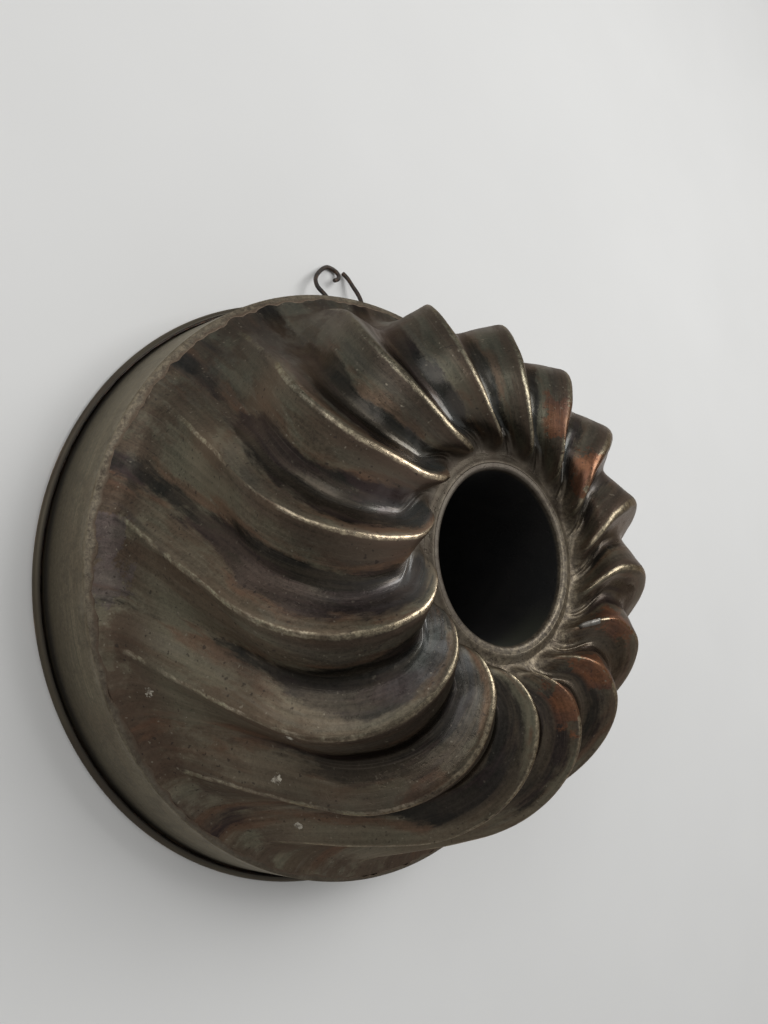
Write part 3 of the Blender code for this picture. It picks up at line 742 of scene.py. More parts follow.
# %% [markdown]
# The dome is one sheet, raised over sixteen flutes. It could be sculpted, but sixteen equal
# flutes are surer as a lattice: each row of the mesh runs round the mould between a ridge
# line and a valley line, and a wave between the two gives the flute its lopsided section, a
# broad, nearly flat face and a short, steep one. The ridge line turns as it climbs, which is
# the swirl, and hooks back near the hole, where it ends in a rounded nose with a steep
# front. A point on a line is its radius, its height and its turn in degrees.

# %% Points that shape the flutes
LAP = 0.0110
FOOT = np.array((BAND_TOP_RADIUS - 0.0075, BAND_HEIGHT + 0.0024, 0.0))
SHOULDER = np.array((0.0931, 0.0792, 14.9))
CROWN = np.array((0.0500, 0.1130, 27.8))
NOSE = np.array((0.0369, 0.1065, 15.0))
LAND = np.array((0.0347, 0.1006, 11.0))
HOLE_RADIUS = 0.0311
FLUTE_DEPTH = 0.0088
CROWN_DEPTH = 0.0078
BRIM_HANDLES = ((-0.0001, 0.0010), (-0.0018, 0.0018))
DEEPENING = 0.85       # the share of the flank over which the flutes deepen
SWIRL_GROWTH = 1.2
RISE_HANDLE = 0.45
LEVEL_HANDLE = 0.49
SHOULDER_TURNS = (8.0, 3.4)
NOSE_HANDLES = ((0.0433, CROWN[1], 26.5), (0.0380, 0.1110, 20.0))
FRONT_HANDLES = ((0.0365, 0.1045, 13.4), (0.0363, 0.1010, 11.8))
FRONT_END = LAND + (0.0004, 0.0001, 0.0)
VALLEY_TOP = CROWN - (0.0, CROWN_DEPTH, 0.0)
VALLEY_HANDLES = ((0.0445, VALLEY_TOP[1], 0.0), (0.0418, LAND[1] + 0.0004, 0.0))
VALLEY_END = LAND + (0.0008, 0.0001, 0.0)
NOSE_SHARE = 0.72
FLANK_LEAN = (FOOT[0] - SHOULDER[0]) / (SHOULDER[1] - FOOT[1])
FLANK_DEPTH = FLUTE_DEPTH * np.array((math.cos(math.atan(FLANK_LEAN)),
                                      math.sin(math.atan(FLANK_LEAN)), 0.0))
ROWS = {"skirt": 8, "brim": 10, "flank": 36, "shoulder": 40, "nose": 22, "front": 12, "land": 6}
print("flank leans", round(math.degrees(math.atan(FLANK_LEAN)), 1), "degrees;",
      sum(ROWS.values()), "rows and the edge of the hole")

# %% [markdown]
# The lines start at the skirt, which hides inside the band, and go over the brim to the
# flank. A curve object could be drawn through the points, but rows of numbers are easier to
# tie to the sizes: a straight stretch is mixed between two points, and a bent one is a cubic
# curve, whose handles say how it leaves and arrives.

# %% Skirt, brim and flank
def wall_radius(height):
    """Outside of the band at a height."""
    return BAND_TOP_RADIUS + (BAND_HEIGHT - height) * math.tan(WALL_LEAN)


def spread(name, last=False):
    """Evenly spaced shares of one stretch of rows, its end left to the next stretch."""
    return np.linspace(0.0, 1.0, ROWS[name] + (1 if last else 0), endpoint=last)


def lower_lines():
    """Skirt, brim and flank; both lines share the first two."""
    inside = BAND_SHEET / math.cos(WALL_LEAN) + FIT
    bottom, brim = BAND_HEIGHT - LAP, BAND_TOP_RADIUS - inside
    t = spread("skirt")
    skirt = np.stack([mix(wall_radius(bottom) - inside, brim, t),
                      mix(bottom, BAND_HEIGHT, t), 0 * t], axis=1)
    handles = [(brim + out, BAND_HEIGHT + up, 0.0) for out, up in BRIM_HANDLES]
    over_band = cubic((brim, BAND_HEIGHT, 0.0), *handles, FOOT, spread("brim"))
    t = spread("flank")
    flank = mix(FOOT, SHOULDER, t[:, None])
    flank[:, 2] = SHOULDER[2] * t ** SWIRL_GROWTH
    deep = 1.0 - (1.0 - np.minimum(t / DEEPENING, 1.0)) ** 1.8
    return [skirt, over_band, flank], [skirt, over_band, flank - np.outer(deep, FLANK_DEPTH)]


lower_ridge, lower_valley = lower_lines()
print("flank ends at", [round(float(part), 4) for part in lower_ridge[-1][-1]])

# %% [markdown]
# Above the flank the lines bend over the shoulder to the nose, drop down its front and end
# on the flat land round the hole. The corners where two stretches meet are then relaxed, as
# a hammer would leave them. A bevel could round them too, but not the flutes with them.

# %% Shoulder, nose and land
def over_shoulder(start, end, turns=(0.0, 0.0)):
    """A curve that leaves as steep as the flank and arrives level."""
    rise = RISE_HANDLE * (end[1] - start[1])
    return cubic(start, (start[0] - FLANK_LEAN * rise, start[1] + rise, start[2] + turns[0]),
                 (mix(end[0], start[0], LEVEL_HANDLE), end[1], end[2] + turns[1]), end,
                 spread("shoulder"))


def upper_lines():
    """Shoulder, nose, front and land."""
    ridge = [over_shoulder(SHOULDER, CROWN, SHOULDER_TURNS),
             cubic(CROWN, *NOSE_HANDLES, NOSE, spread("nose")),
             cubic(NOSE, *FRONT_HANDLES, FRONT_END, spread("front"))]
    t = np.r_[NOSE_SHARE * spread("nose"), mix(NOSE_SHARE, 1.0, spread("front"))]
    valley = [over_shoulder(SHOULDER - FLANK_DEPTH, VALLEY_TOP),
              cubic(VALLEY_TOP, *VALLEY_HANDLES, VALLEY_END, t)]
    land = mix(LAND, (HOLE_RADIUS, LAND[1], LAND[2]), spread("land", last=True)[:, None])
    return ridge + [land], valley + [land]


def relax(line, times):
    """Rounds the corners of a line of rows; both ends stay."""
    for _ in range(times):
        line[1:-1] = 0.25 * line[:-2] + 0.5 * line[1:-1] + 0.25 * line[2:]
    return line


upper_ridge, upper_valley = upper_lines()
ridge_line = np.vstack(lower_ridge + upper_ridge)
valley_line = np.vstack(lower_valley + upper_valley)
valley_line[:, 2] = ridge_line[:, 2]
ridge_line, valley_line = relax(ridge_line, 3), relax(valley_line, 3)
foot_rows = slice(ROWS["skirt"] + 3, ROWS["skirt"] + ROWS["brim"] + 12)
relax(ridge_line[foot_rows], 20)
relax(valley_line[foot_rows], 20)
print(len(ridge_line), "rows; crown at", round(float(ridge_line[:, 1].max()), 4))

# %% [markdown]
# Across a flute the section is a pair of bowed slopes that meet in a sharp ridge and a sharp
# valley. A bevel could round them, but hardly by a width that changes as they climb. A blur
# of the section over such a width does: the ridges stay crisp low down and grow rounder
# towards the nose, and the valleys are always rounder than the ridges.

# %% Section across the flutes
BROAD_COLUMNS, STEEP_COLUMNS = 18, 14
STEEP_SHARE, NOSE_STEEP_SHARE = 0.40, 0.50
BROAD_BOW, STEEP_BOW = 0.35, 0.50
CREST_ROUND, CROWN_ROUND, NOSE_ROUND = 0.0010, 0.0016, 0.0024
VALLEY_ROUND, NOSE_VALLEY_ROUND = 0.0030, 0.0042
CROWDING = 0.08        # how far columns move towards ridge and valley

foot_row = ROWS["skirt"] + ROWS["brim"]
nose_row = foot_row + ROWS["flank"] + ROWS["shoulder"]
land_row = len(ridge_line) - ROWS["land"] - 1
travelled = np.cumsum(np.r_[0.0, np.hypot(*np.diff(ridge_line[:, :2], axis=0).T)])
climbed = np.clip((travelled - travelled[foot_row])
                  / (travelled[land_row] - travelled[foot_row]), 0, 1)
steep_share = np.full(len(ridge_line), STEEP_SHARE)
steep_share[nose_row:] = NOSE_STEEP_SHARE
steep_share[nose_row:nose_row + ROWS["nose"]] = mix(STEEP_SHARE, NOSE_STEEP_SHARE,
                                                    ease(spread("nose")))


def risen(low, high):
    """0 for rows below one share of the climb, 1 above another; low above high turns it."""
    return ease((climbed - low) / (high - low))


def flute_columns():
    """Shares across one flute for each row, closer together beside ridge and valley."""
    def crowd(count):
        u = np.arange(count) / count
        return u - CROWDING * np.sin(math.tau * u)

    broad = np.outer(1.0 - steep_share, crowd(BROAD_COLUMNS))
    steep = (1.0 - steep_share)[:, None] + np.outer(steep_share, crowd(STEEP_COLUMNS))
    return np.hstack([broad, steep])


def flute_wave(share, steep):
    """Section of a flute, 1 on a ridge and 0 in the valley."""
    share = share % 1.0
    x = np.where(share <= 1.0 - steep, share / (1.0 - steep), (1.0 - share) / steep)
    bow = np.where(share <= 1.0 - steep, BROAD_BOW, STEEP_BOW)
    return 1.0 - x * (1.0 + bow - bow * x)


def soft_wave(share, rounding):
    """The same section with its ridge and valley rounded over a width for each row."""
    taps = np.linspace(-2.0, 2.0, 9)
    weights = np.exp(-0.5 * taps ** 2)
    width = (rounding * FLUTES / (math.tau * ridge_line[:, 0]))[:, None]
    total = sum(weight * flute_wave(share + tap * width, steep_share[:, None])
                for tap, weight in zip(taps, weights))
    low = total.min(axis=1, keepdims=True)
    return (total - low) / (total.max(axis=1, keepdims=True) - low)


def flute_section(share):
    """Crisp ridges over soft valleys."""
    ridge_round = mix(CREST_ROUND, CROWN_ROUND, risen(0.35, 0.80))
    ridge_round = mix(ridge_round, NOSE_ROUND, risen(0.86, 0.94))
    valley_round = mix(VALLEY_ROUND, NOSE_VALLEY_ROUND, risen(0.75, 0.87))
    crisp = soft_wave(share, ridge_round)
    return mix(soft_wave(share, valley_round), crisp, ease((crisp - 0.10) / 0.65))


share = flute_columns()
shares = np.hstack([share + flute for flute in range(FLUTES)])
waves = np.tile(flute_section(share), (1, FLUTES))
print("lattice of", waves.shape[0], "rows by", waves.shape[1], "columns")

# %% [markdown]
# A hand-raised dome is never regular. Sculpting could show that, but seeded noise gives the
# same dome on each run. The helpers spread one value per ridge over its neighbours, make
# smooth noise in metres, and find which way is out of the sheet.

# %% Helpers for an uneven sheet
def between_ridges(values):
    """Spreads one value per ridge over all columns, mixed smoothly from ridge to ridge."""
    values = np.asarray(values)
    after = np.roll(values, -1)
    return np.hstack([mix(values[k], after[k], ease(share)) for k in range(FLUTES)])


def noise_field(points, size, seed):
    """Smooth noise from -1 to 1 at each point, with bumps about one size across."""
    offset = Vector((seed, seed * 1.7, -seed))
    flat = points.reshape(-1, 3) / size
    values = [noise.noise(Vector(point) + offset) for point in flat.tolist()]
    return np.array(values).reshape(points.shape[:-1])


def surface_normals(points):
    """Unit normals of a closed-round lattice, pointing out of the dome."""
    along = np.gradient(points, axis=0)
    around = np.roll(points, -1, axis=1) - np.roll(points, 1, axis=1)
    cross = np.cross(around, along)
    return cross / np.linalg.norm(cross, axis=2, keepdims=True)


print("noise at the origin:", noise_field(np.zeros((1, 3)), 0.010, 5.0).round(3))

# %% [markdown]
# Each ridge stands a little off its place, one side of the shoulder is fuller, and the sheet
# has broad waves and some shallow dents. All of it fades out at the skirt and round the
# hole, where the dome has to meet the band and the tube.

# %% Raised by hand
FIRST_RIDGE = 173.0
RIDGE_RISE = 0.0005    # how far a ridge may stand above or below its height
RIDGE_DRIFT = 0.7      # and, in degrees, beside its place
SWAY = 0.00045
BROAD_WAVES, SMALL_WAVES = 0.00035, 0.00014
BULGE = 0.0028         # how much fuller the shoulder is on one side
BULGE_ANGLE, BULGE_WIDTH = 52.0, 55.0
BULGE_CLIMB, BULGE_HEIGHT = 0.55, 0.24
DENTS = 46
DENT_ROWS = (foot_row + 6, land_row - 8)
DENT_REACH = (0.003, 0.009)
DENT_DEPTH = (0.00010, 0.00040)


def bulge(angle):
    """Fullness of one side of the shoulder, 1 in its middle."""
    aside = (angle - math.radians(BULGE_ANGLE) + math.pi) % math.tau - math.pi
    return np.exp(-(aside / math.radians(BULGE_WIDTH)) ** 2) * np.exp(
        -((climbed[:, None] - BULGE_CLIMB) / BULGE_HEIGHT) ** 2)


def dents(points, chance):
    """Depth of the shallow dents at each point."""
    total = 0.0
    for _ in range(DENTS):
        row = chance.randrange(*DENT_ROWS)
        middle = points[row, chance.randrange(points.shape[1])]
        reach, depth = chance.uniform(*DENT_REACH), chance.uniform(*DENT_DEPTH)
        total = total + depth * np.exp(
            -(np.linalg.norm(points - middle, axis=2) / reach) ** 2)
    return total


def raised_by_hand():
    """Points of the dome's outside about the upright axis."""
    chance = random.Random(11)
    taller, later = (between_ridges([chance.uniform(-most, most) for _ in range(FLUTES)])
                     for most in (RIDGE_RISE, RIDGE_DRIFT))
    free = (risen(0.0, 0.10) * risen(1.0, 0.92))[:, None]
    angle = np.radians(FIRST_RIDGE + ridge_line[:, 2:3] + shares * 360.0 / FLUTES
                       + later * free)
    radius = mix(valley_line[:, 0:1], ridge_line[:, 0:1], waves)
    points = turned_points(radius, angle, mix(valley_line[:, 1:2], ridge_line[:, 1:2], waves))
    sway = SWAY * noise_field(points, 0.013, 21.0) * free / radius
    points[..., 0], points[..., 1] = (points[..., 0] - sway * points[..., 1],
                                      points[..., 1] + sway * points[..., 0])
    push = (BROAD_WAVES * noise_field(points, 0.030, 5.0)
            + SMALL_WAVES * noise_field(points, 0.010, 9.0)
            + taller * waves + BULGE * bulge(angle) - dents(points, chance))
    points = points + surface_normals(points) * (push * free)[..., None]
    return points + turned_points(hand_wobble(angle), angle, 0.0)


outside = raised_by_hand()
print("the fullest point of the dome is", round(float(
    np.hypot(outside[..., 0], outside[..., 1]).max()), 4), "m from the axis")

# %% [markdown]
# The lattice becomes the dome's mesh with the two vectors that its copper reads. Its inside
# could be a lattice of its own. A Solidify modifier gives the same sheet in one step, with
# the tinned lining as the second material.

# %% The dome
FLOW_RADIUS = 0.1
DARK_FROM = 0.45       # the share of the broad face where the dark side begins


def make_dome():
    mesh = lattice("dome", outside + AXIS)
    flow = turned_points(FLOW_RADIUS, np.radians(shares * 360.0 / FLUTES), travelled[:, None])
    past = (shares % 1.0) / (1.0 - steep_share[:, None])
    flute = np.stack([waves, np.broadcast_to(climbed[:, None], waves.shape),
                      ease((past - DARK_FROM) / (1.0 - DARK_FROM))], axis=-1)
    put_attribute(mesh, "flow", flow)
    put_attribute(mesh, "flute", flute)
    piece = dress(in_scene("fluted_dome", mesh), "mould", ["fluted_shell"],
                  [browned_copper, old_tin])
    sheet(piece, SHELL_SHEET, -1.0, inside=1)
    return piece


dome = make_dome()
print("dome:", len(dome.data.vertices), "vertices before its thickness")

# %% [markdown]
# The band was scoured more often than the dome, and shows it as rings round the mould, in
# the grey of worn tin. A wave texture would draw rings too, but all alike, so the streaks of
# the copper are laid round it instead. Height alone then says where the rest lies: a bright
# upper edge, a dark line where the roll closes above the bead, and its rubbed underside.

# %% Finish of the band
def make_scoured_band():
    material, graph, shader = finish("scoured_band")
    where, spot = graph.here()
    up = spot[2]
    rings = graph.place(STREAKS, across=900.0, along=9.0, vector=graph.add(
        "ShaderNodeCombineXYZ", {0: up, 2: spot[0]}).outputs[0])
    clouds = graph.place(CLOUDS, vector=where, scale=30.0, seed=5.0)
    bright_edge = graph.times(graph.step(up, 0.0270, 0.0325), graph.step(
        graph.noise(where, 130.0, 6.0, 0.7), 0.36, 0.62))
    mottle = graph.blend(graph.place(MOTTLE, vector=where)["Mottle"],
                         (0.58, 0.55, 0.52), (1.24, 1.22, 1.16))
    rubbed = graph.times(graph.step(up, 0.0030, 0.0018),
                         graph.step(graph.noise(where, 60.0, 5.0, 0.65), 0.42, 0.62))
    colour = graph.layers(
        graph.blend(rings["Streak"], (0.076, 0.065, 0.044), (0.184, 0.160, 0.116)),
        (clouds["Cloud"], 0.60, (0.104, 0.080, 0.054)),
        (clouds["Blotch"], 0.40, (0.056, 0.046, 0.034)),
        (bright_edge, 0.60, (0.215, 0.190, 0.150)),
        (graph.step(up, 0.0260, 0.0100), 0.62, (0.052, 0.045, 0.031)))
    colour = graph.layers(
        graph.blend(1.0, colour, mottle, "MULTIPLY"),
        (graph.step(up, 0.0100, 0.0050), 0.85, (0.022, 0.020, 0.018)),
        (graph.step(up, 0.0040, 0.0034), 0.8, graph.blend(
            clouds["Cloud"], (0.050, 0.038, 0.028), (0.074, 0.062, 0.043))),
        (rubbed, 0.6, (0.24, 0.165, 0.110)))
    marks = graph.place(SURFACE, vector=where, hammer=0.25, pits=0.15, grain=0.05)
    graph.feed(
        shader, base_color=colour, metallic=0.60, specular_tint=(0.95, 0.90, 0.76),
        roughness=graph.weigh((rings["Streak"], 0.12), start=0.42),
        normal=graph.bump(graph.weigh((rings["Scratch"], -0.12), start=marks["Height"]),
                          0.45, 0.0003))
    return material


scoured_band = make_scoured_band()
print("made", scoured_band.name)

# %% [markdown]
# The band itself is a plain strip, turned outwards at its lower edge and rolled round an
# iron wire. A screw modifier could turn its profile. Turned in code, the ring can also be a
# little out of true, by the same wobble as the dome, so that the two still meet.

# %% The band
CURL_FROM, CURL_TO = 182.5, 455.0
OFF_FLOOR = 0.00002


def turned(name, profile, steps):
    """A profile of (radius, height) pairs, outside from the top down, turned about the axis."""
    angle = np.arange(steps) * math.tau / steps
    profile = np.asarray(profile)
    points = turned_points(profile[:, 0:1] + hand_wobble(angle), angle, profile[:, 1:2])
    return lattice(name, points[::-1] + AXIS)


def make_band():
    half = BAND_SHEET / 2
    turn = np.radians(np.linspace(CURL_FROM, CURL_TO, 44))
    curl = np.stack([BEAD_CENTRE_RADIUS + CURL_RADIUS * np.cos(turn), np.maximum(
        BEAD_RADIUS + CURL_RADIUS * np.sin(turn), half + OFF_FLOOR)], axis=1)
    t = np.linspace(0, 1, 26, endpoint=False)[:, None]
    wall = mix(np.array((BAND_TOP_RADIUS - half, BAND_HEIGHT)), curl[0], t)
    piece = dress(in_scene("band", turned("band", np.vstack([wall, curl]), 360)), "mould",
                  ["collar_band"], [scoured_band, old_tin])
    sheet(piece, BAND_SHEET, 0.0)
    return piece


band = make_band()
print("band:", len(band.data.vertices), "vertices before its thickness")

# %% [markdown]
# The flange of the centre tube was tinned grey. The bore below it is painted near black as
# shade, with a dim painted reflection low on one side. Two materials would meet in a hard
# line, so one material holds both, and a mask made from the height fades one into the other.

# %% Finish of the tube
def make_shaded_bore_tube():
    material, graph, shader = finish("shaded_bore_tube")
    where, spot = graph.here()
    clouds = graph.place(CLOUDS, vector=where, scale=60.0, seed=2.0)
    lip = graph.place(SOLDER_SKIN, vector=where, rubbed=graph.place(
        RUBBED_SIDE, vector=where)["Rubbed"])["Skin"]
    # Painted shade: the bore is near black, with a dim painted reflection low on one side.
    bore_shade_and_reflection = graph.layers(
        graph.blend(clouds["Cloud"], (0.002, 0.002, 0.002), (0.006, 0.0055, 0.005)),
        (graph.step(spot[2], 0.0840, 0.0960), graph.step(spot[1], -0.022, -0.040),
         (0.020, 0.021, 0.014)))
    upper = graph.step(spot[2], 0.0992, 0.1010)
    graph.feed(
        shader, base_color=graph.blend(upper, bore_shade_and_reflection, lip), metallic=graph.times(upper, 0.7),
        roughness=graph.weigh((upper, -0.14), start=0.60),
        normal=marked(graph, where, 0.5, 0.0003, hammer=0.3, pits=0.3, grain=0.08))
    return material


shaded_bore_tube = make_shaded_bore_tube()
print("made", shaded_bore_tube.name)

# %% [markdown]
# The tube closes the hole and carries heat to the middle of the cake. It is turned as the
# band is: a narrow flange that lies flat on the dome, a tight bend, and a bore that tapers
# down so that the cake slips off. A cone with a bevelled edge would have no flange.

# %% The centre tube
TUBE_SHEET = 0.0009
TUBE_TOP_RADIUS = 0.0291
TUBE_MOUTH_RADIUS, TUBE_MOUTH_HEIGHT = 0.0232, 0.0060
LIP_HEIGHT = 0.1018
LIP_WIDTH = 0.0018
LIP_BEND = 0.0008
LIP_DROOP = 0.00005


def make_tube():
    half = TUBE_SHEET / 2
    bore, top = TUBE_TOP_RADIUS + half, LIP_HEIGHT - half
    t = np.linspace(0, 1, 6, endpoint=False)[:, None]
    flange = mix(np.array((bore + LIP_BEND + LIP_WIDTH, top - LIP_DROOP)),
                 np.array((bore + LIP_BEND, top)), t)
    turn = np.radians(np.linspace(90.0, 180.0, 8))
    bend = np.stack([bore + LIP_BEND + LIP_BEND * np.cos(turn),
                     top - LIP_BEND + LIP_BEND * np.sin(turn)], axis=1)
    t = np.linspace(0, 1, 25)[1:, None]
    wall = mix(bend[-1], np.array((TUBE_MOUTH_RADIUS + half, TUBE_MOUTH_HEIGHT)), t)
    profile = np.vstack([flange, bend, wall])
    piece = dress(in_scene("flanged_tube", turned("tube", profile, 180)), "mould",
                  ["centre_tube"], [shaded_bore_tube])
    sheet(piece, TUBE_SHEET, 0.0)


make_tube()

# %% [markdown]
# Solder is dull and grainy, and pale where it is rubbed. The skin that the tube's flange has
# serves again, and a number stored across each bead says how far a point lies from the
# joint, so that the bead can be bright beside the joint and brown at its far edge. Height
# could not say so, since the beads lie nearly flat.

# %% Finish of the solder
def make_dull_solder():
    material, graph, shader = finish("dull_solder")
    where, spot = graph.here()
    high = graph.step(spot[2], 0.060, 0.070)
    low = graph.math("SUBTRACT", 1.0, high)
    at_band = graph.step(graph.math("SUBTRACT", spot[1], spot[0]), 0.02, 0.15)
    at_lip = graph.place(RUBBED_SIDE, vector=where)["Rubbed"]
    rubbed = graph.math("MAXIMUM", graph.times(high, at_lip), graph.times(
        low, graph.weigh((at_band, 0.65), start=0.30)))
    far = graph.weigh((graph.noise(where, 300.0, 5.0, 0.7), 0.9),
                      start=graph.attribute("far", "Fac"))
    skin = graph.place(SOLDER_SKIN, vector=where, rubbed=graph.times(rubbed, 0.85))["Skin"]
    graph.feed(
        shader, roughness=0.50, metallic=0.6, specular_tint=(0.95, 0.85, 0.66),
        base_color=graph.layers(
            skin,
            (graph.times(graph.step(far, 0.72, 0.55), low), 0.7, (0.150, 0.130, 0.092)),
            (graph.times(graph.step(far, 0.95, 1.35), low), 0.85, (0.080, 0.056, 0.040))),
        normal=marked(graph, where, 0.6, 0.0003, hammer=0.8, pits=0.6, grain=0.2))
    return material


dull_solder = make_dull_solder()
print("made", dull_solder.name)

# %% [markdown]
# Solder holds the sheets together and shows at both joints: between the band's top edge and
# the dome, and round the tube's flange. It could be a bump where the sheets meet, but solder
# stands proud and catches the light, so each bead is a thin strip that starts on the joint
# and follows the metal. Its far edge is ragged, and it is widest at one side, where more of
# it ran.

# %% The beads of solder
SOLDER_SHEET = 0.00015
BEAD_REACH, BEAD_SWING = 0.50, 0.30
TUCK = 0.00012         # how far the far edge sinks into the metal
BAND_BEAD = np.vstack([
    (wall_radius(BAND_HEIGHT - 0.0005) - 0.00004, BAND_HEIGHT - 0.0005),
    (BAND_TOP_RADIUS - 0.00005, BAND_HEIGHT + 0.00002),
    (BAND_TOP_RADIUS - 0.0008, BAND_HEIGHT + 0.00030),
    ridge_line[ROWS["skirt"] + 4:ROWS["skirt"] + ROWS["brim"] - 3, :2]])
LIP_BEAD = np.array((
    (0.0314, LIP_HEIGHT + 0.00002), (0.0321, LIP_HEIGHT - 0.00002), (0.0334, LAND[1] + 0.0005),
    (0.0347, LAND[1] + 0.0001), (0.0368, LAND[1] - 0.0003)))


def solder_bead(name, line, least, proud, steps, seed, wander, fullest):
    """A strip that starts on a joint and follows a line of (radius, height) pairs. Its far
    edge lies beyond the pair numbered least, is ragged and sinks into the metal; it reaches
    furthest at the fullest angle."""
    length = np.r_[0.0, np.cumsum(np.hypot(*np.diff(line, axis=0).T))]
    angle = np.arange(steps) * math.tau / steps
    ring = turned_points(0.1, angle, 0.0)
    reach = (BEAD_REACH + BEAD_SWING * np.cos(angle - math.radians(fullest))
             + wander * (noise_field(ring, 0.010, seed) + noise_field(ring, 0.0035, seed + 3)))
    along = np.linspace(0.0, 1.0, 11)[:, None]
    gone = along * mix(length[least], length[-1], np.clip(reach, 0.0, 1.0))
    radius = np.interp(gone, length, line[:, 0]) + hand_wobble(angle)
    height = (np.interp(gone, length, line[:, 1]) + proud * np.sin(math.pi * along) ** 0.6
              - TUCK * (along > 0.99))
    points, far = turned_points(radius, angle, height), np.broadcast_to(along, radius.shape)
    if line[0, 0] < line[-1, 0]:
        points, far = points[::-1], far[::-1]
    mesh = lattice(name, points + AXIS)
    put_attribute(mesh, "far", far, "FLOAT", "value")
    sheet(dress(in_scene(name, mesh), "mould", [], [dull_solder]),
          SOLDER_SHEET, -1.0)


solder_bead("band_solder", BAND_BEAD, least=2, proud=0.00014, steps=900, seed=2.0,
            wander=0.35, fullest=135.0)
solder_bead("lip_solder", LIP_BEAD, least=3, proud=0.00006, steps=360, seed=6.0,
            wander=0.10, fullest=0.0)
print("solder follows", len(BAND_BEAD), "and", len(LIP_BEAD), "points")

# %% [markdown]
# All the iron is black, with rust where it holds damp. The wire in the rim has the right
# shape in the CAD model, so it stays, and only the material in its slot changes. Loop and
# rivets get the same one.

# %% Black iron
def make_black_iron():
    material, graph, shader = finish("black_iron")
    where, _ = graph.here()
    clouds = graph.place(CLOUDS, vector=where, scale=160.0, seed=6.0)
    graph.feed(
        shader, roughness=0.48, metallic=0.75,
        base_color=graph.layers(
            graph.blend(clouds["Cloud"], (0.030, 0.027, 0.025), (0.060, 0.048, 0.040)),
            (clouds["Blotch"], 0.5, (0.115, 0.060, 0.032))),
        normal=marked(graph, where, 0.6, 0.0002, hammer=0.6, pits=0.6, grain=0.3))
    return material


black_iron = make_black_iron()
frame["nodes"]["rim_wire"].material_slots[0].material = black_iron
print("made", black_iron.name, "for wire and rivets")

# %% [markdown]
# The loop is a piece of wire bent by hand. It lies loose in a small strap riveted to the
# band. Its tube could be a mesh, but a curve through the points of the bend, with a round
# bevel, is exactly what bent wire is, and its radius can wander a little.

# %% The hanging loop
LOOP_WIRE_RADIUS = 0.0010
LOOP_WANDER = 0.03     # how much thinner than its radius the wire may be
CUT_END = 0.75         # and its two cut ends
EYE_HEIGHT = 0.0130
EYE_RADIUS = LOOP_WIRE_RADIUS + 0.00035
EYE_OUT = EYE_RADIUS + FIT
LOOP_POINTS = (
    (-0.0015, 0.0202), (0.0014, 0.0224), (0.0025, 0.0256), (0.0006, 0.0280),
    (-0.0034, 0.0283), (-0.0083, 0.0236), (-0.0122, 0.0175), (-0.0128, 0.0120),
    (-0.0101, 0.0079), (-0.0079, 0.0042), (-0.0067, 0.0015), (-0.0052, 0.0001),
    (-0.0042, 0.0), (0.0, 0.0), (0.0042, 0.0), (0.0052, 0.0001),
    (0.0072, 0.0015), (0.0098, 0.0048), (0.0113, 0.0100), (0.0110, 0.0156),
    (0.0093, 0.0208), (0.0078, 0.0252), (0.0056, 0.0282),
)
LOOP_DROOP = math.asin((EYE_HEIGHT - LOOP_WIRE_RADIUS - FIT)
                       / max(out for across, out in LOOP_POINTS))
hinge = next(joint["pos_m"] for joint in frame["joints"] if joint["name"] == "loop_swing")


def smooth_line(points, samples):
    """Points along a smooth curve through the given ones."""
    points = [Vector(point) for point in points]
    padded = [points[0]] + points + [points[-1]]
    line = []
    for a, b, c, d in zip(padded, padded[1:], padded[2:], padded[3:]):
        for t in np.arange(samples) / samples:
            line.append(0.5 * (2 * b + (c - a) * t + (2 * a - 5 * b + 4 * c - d) * t * t
                               + (3 * b - a - 3 * c + d) * t ** 3))
    return line + [points[-1]]


def make_loop():
    curve = bpy.data.curves.new("wire_loop", "CURVE")
    curve.dimensions = "3D"
    curve.bevel_depth = LOOP_WIRE_RADIUS
    curve.bevel_resolution = 6
    curve.use_fill_caps = True
    line = smooth_line(LOOP_POINTS, 6)
    spline = curve.splines.new("POLY")
    spline.points.add(len(line) - 1)
    for index, (point, place) in enumerate(zip(spline.points, line)):
        point.co = (place.x, place.y, 0.0, 1.0)
        point.radius = 1.0 - LOOP_WANDER * (1.0 - math.sin(index * 0.45))
    for index in (0, -1):
        spline.points[index].radius = CUT_END
    spline.use_smooth = True
    piece = in_scene("wire_loop", curve)
    piece.location = hinge
    piece.rotation_euler = (-LOOP_DROOP, 0.0, 0.0)
    dress(piece, "loop", ["hanging_loop"], [black_iron])


make_loop()
print("loop hinge at", [round(value, 4) for value in hinge], "droop",
      round(math.degrees(LOOP_DROOP), 1))

# %% [markdown]
# The strap is folded from a scrap of copper, its middle pressed round the wire. A box with a
# hole would be quicker, but a lattice along the folded line is a bent sheet as the real one
# is. Bevelled edges and rounded corners keep it from looking like a cut-out.

# %% The strap
STRAP_SHEET, STRAP_WIDTH, STRAP_FLAP = 0.0009, 0.0080, 0.0052
STRAP_CORNER = 0.0022
STRAP_EDGE = 0.0002
STRAP_FINISH = (0.75, 0.3, 0.0)    # where on a flute its copper is taken from


def wall_frame():
    """Axes on the band's outside below the eye: X across, Y out of the wall, Z up along it."""
    height = EYE_HEIGHT - EYE_OUT * math.sin(WALL_LEAN)
    return (Matrix.Translation(AXIS + (0.0, wall_radius(height), height))
            @ Matrix.Rotation(WALL_LEAN, 4, "X"))


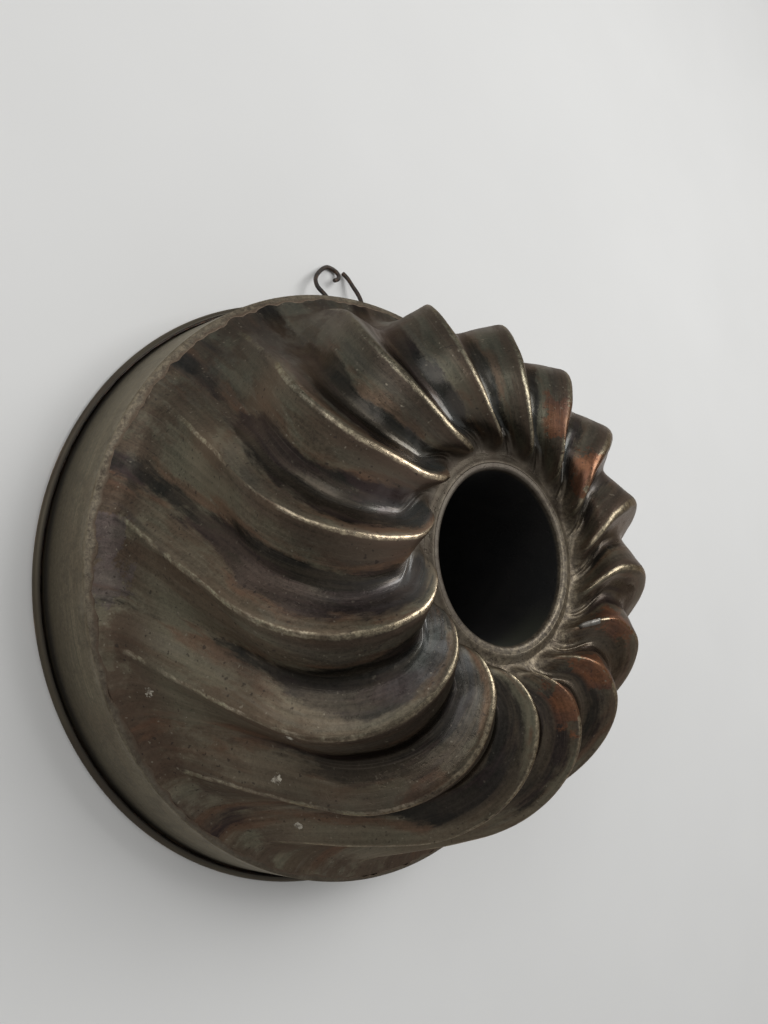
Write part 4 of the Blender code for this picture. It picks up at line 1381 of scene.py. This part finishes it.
def strap_line():
    """The folded strap seen from its side: out from the wall, and up along it."""
    flat = FIT + STRAP_SHEET / 2
    round_eye = EYE_RADIUS + STRAP_SHEET / 2
    drop = math.sqrt(round_eye ** 2 - (EYE_OUT - flat) ** 2)
    start = math.atan2(-drop, flat - EYE_OUT)
    turn = np.linspace(start, -start, 21)
    eye = np.stack([EYE_OUT + round_eye * np.cos(turn), round_eye * np.sin(turn)], axis=1)
    t = np.linspace(0, 1, 8, endpoint=False)
    low = np.stack([flat + 0 * t, -drop - STRAP_FLAP * (1 - t)], axis=1)
    return relax(np.vstack([low, eye, low[::-1] * (1, -1)]), 1)


def make_strap():
    """Folds the strap and says how far from the hinge its rivets sit."""
    line = strap_line()
    end = np.abs(line[:, 1]).max()
    near = np.clip((np.abs(line[:, 1]) - (end - STRAP_CORNER)) / STRAP_CORNER, 0, 1)
    half = STRAP_WIDTH / 2 - STRAP_CORNER * (1 - np.sqrt(1 - near ** 2))
    across = np.outer(half, np.linspace(-1, 1, 9))
    points = np.stack(np.broadcast_arrays(across, line[:, 0:1], line[:, 1:2]), axis=-1)
    mesh = lattice("strap", points, around=False, flip=True)
    put_attribute(mesh, "flute", np.broadcast_to(STRAP_FINISH, points.shape))
    put_attribute(mesh, "flow", points)
    mesh.transform(wall_frame())
    piece = dress(in_scene("strap", mesh), "mould", ["loop_strap"],
                  [browned_copper])
    sheet(piece, STRAP_SHEET, 0.0)
    bevel = piece.modifiers.new("soft_edges", "BEVEL")
    bevel.width, bevel.segments = STRAP_EDGE, 2
    return end - STRAP_FLAP / 2


rivet_up = make_strap()
print("strap", STRAP_WIDTH, "m wide, rivets", round(rivet_up, 4), "m from the hinge")

# %% [markdown]
# One rivet holds the strap above the eye and one below. Each is a turned profile again: a
# domed head, a shank through strap and band, and a tail hammered flat inside.

# %% The rivets
RIVET_HEAD_RADIUS, RIVET_HEAD_HEIGHT, RIVET_RADIUS = 0.0016, 0.0009, 0.00075
TAIL_RADIUS, TAIL_END_RADIUS, TAIL_DEPTH = 0.00136, 0.0008, 0.0016
POINT_RADIUS = 0.00001
RIVET_SIDES = 24


def make_rivet(name, node, up):
    seat = FIT + STRAP_SHEET
    turn = np.radians(np.linspace(90.0, 0.0, 9))
    head = np.stack([RIVET_HEAD_RADIUS * np.cos(turn),
                     seat + RIVET_HEAD_HEIGHT * np.sin(turn)], axis=1)
    tail = ((RIVET_RADIUS, seat), (RIVET_RADIUS, -BAND_SHEET), (TAIL_RADIUS, -BAND_SHEET - FIT),
            (TAIL_END_RADIUS, -BAND_SHEET - 0.0007), (POINT_RADIUS, -TAIL_DEPTH))
    profile = np.maximum(np.vstack([head, tail]), (POINT_RADIUS, -1.0))
    angle = np.arange(RIVET_SIDES) * math.tau / RIVET_SIDES
    radius = profile[:, 0:1] * (1.0 + 0.05 * np.cos(3 * angle + up * 900))
    mesh = lattice(name, turned_points(radius, angle, profile[:, 1:2])[::-1])
    mesh.transform(wall_frame() @ Matrix.Translation((0.0, 0.0, up))
                   @ Matrix.Rotation(-math.pi / 2, 4, "X"))
    dress(in_scene(name, mesh), "mould", [node], [black_iron])


make_rivet("rivet_lower", "strap_rivet_lower", -rivet_up)
make_rivet("rivet_upper", "strap_rivet_upper", rivet_up)
print("rivet heads", round(2 * RIVET_HEAD_RADIUS, 4), "m across")
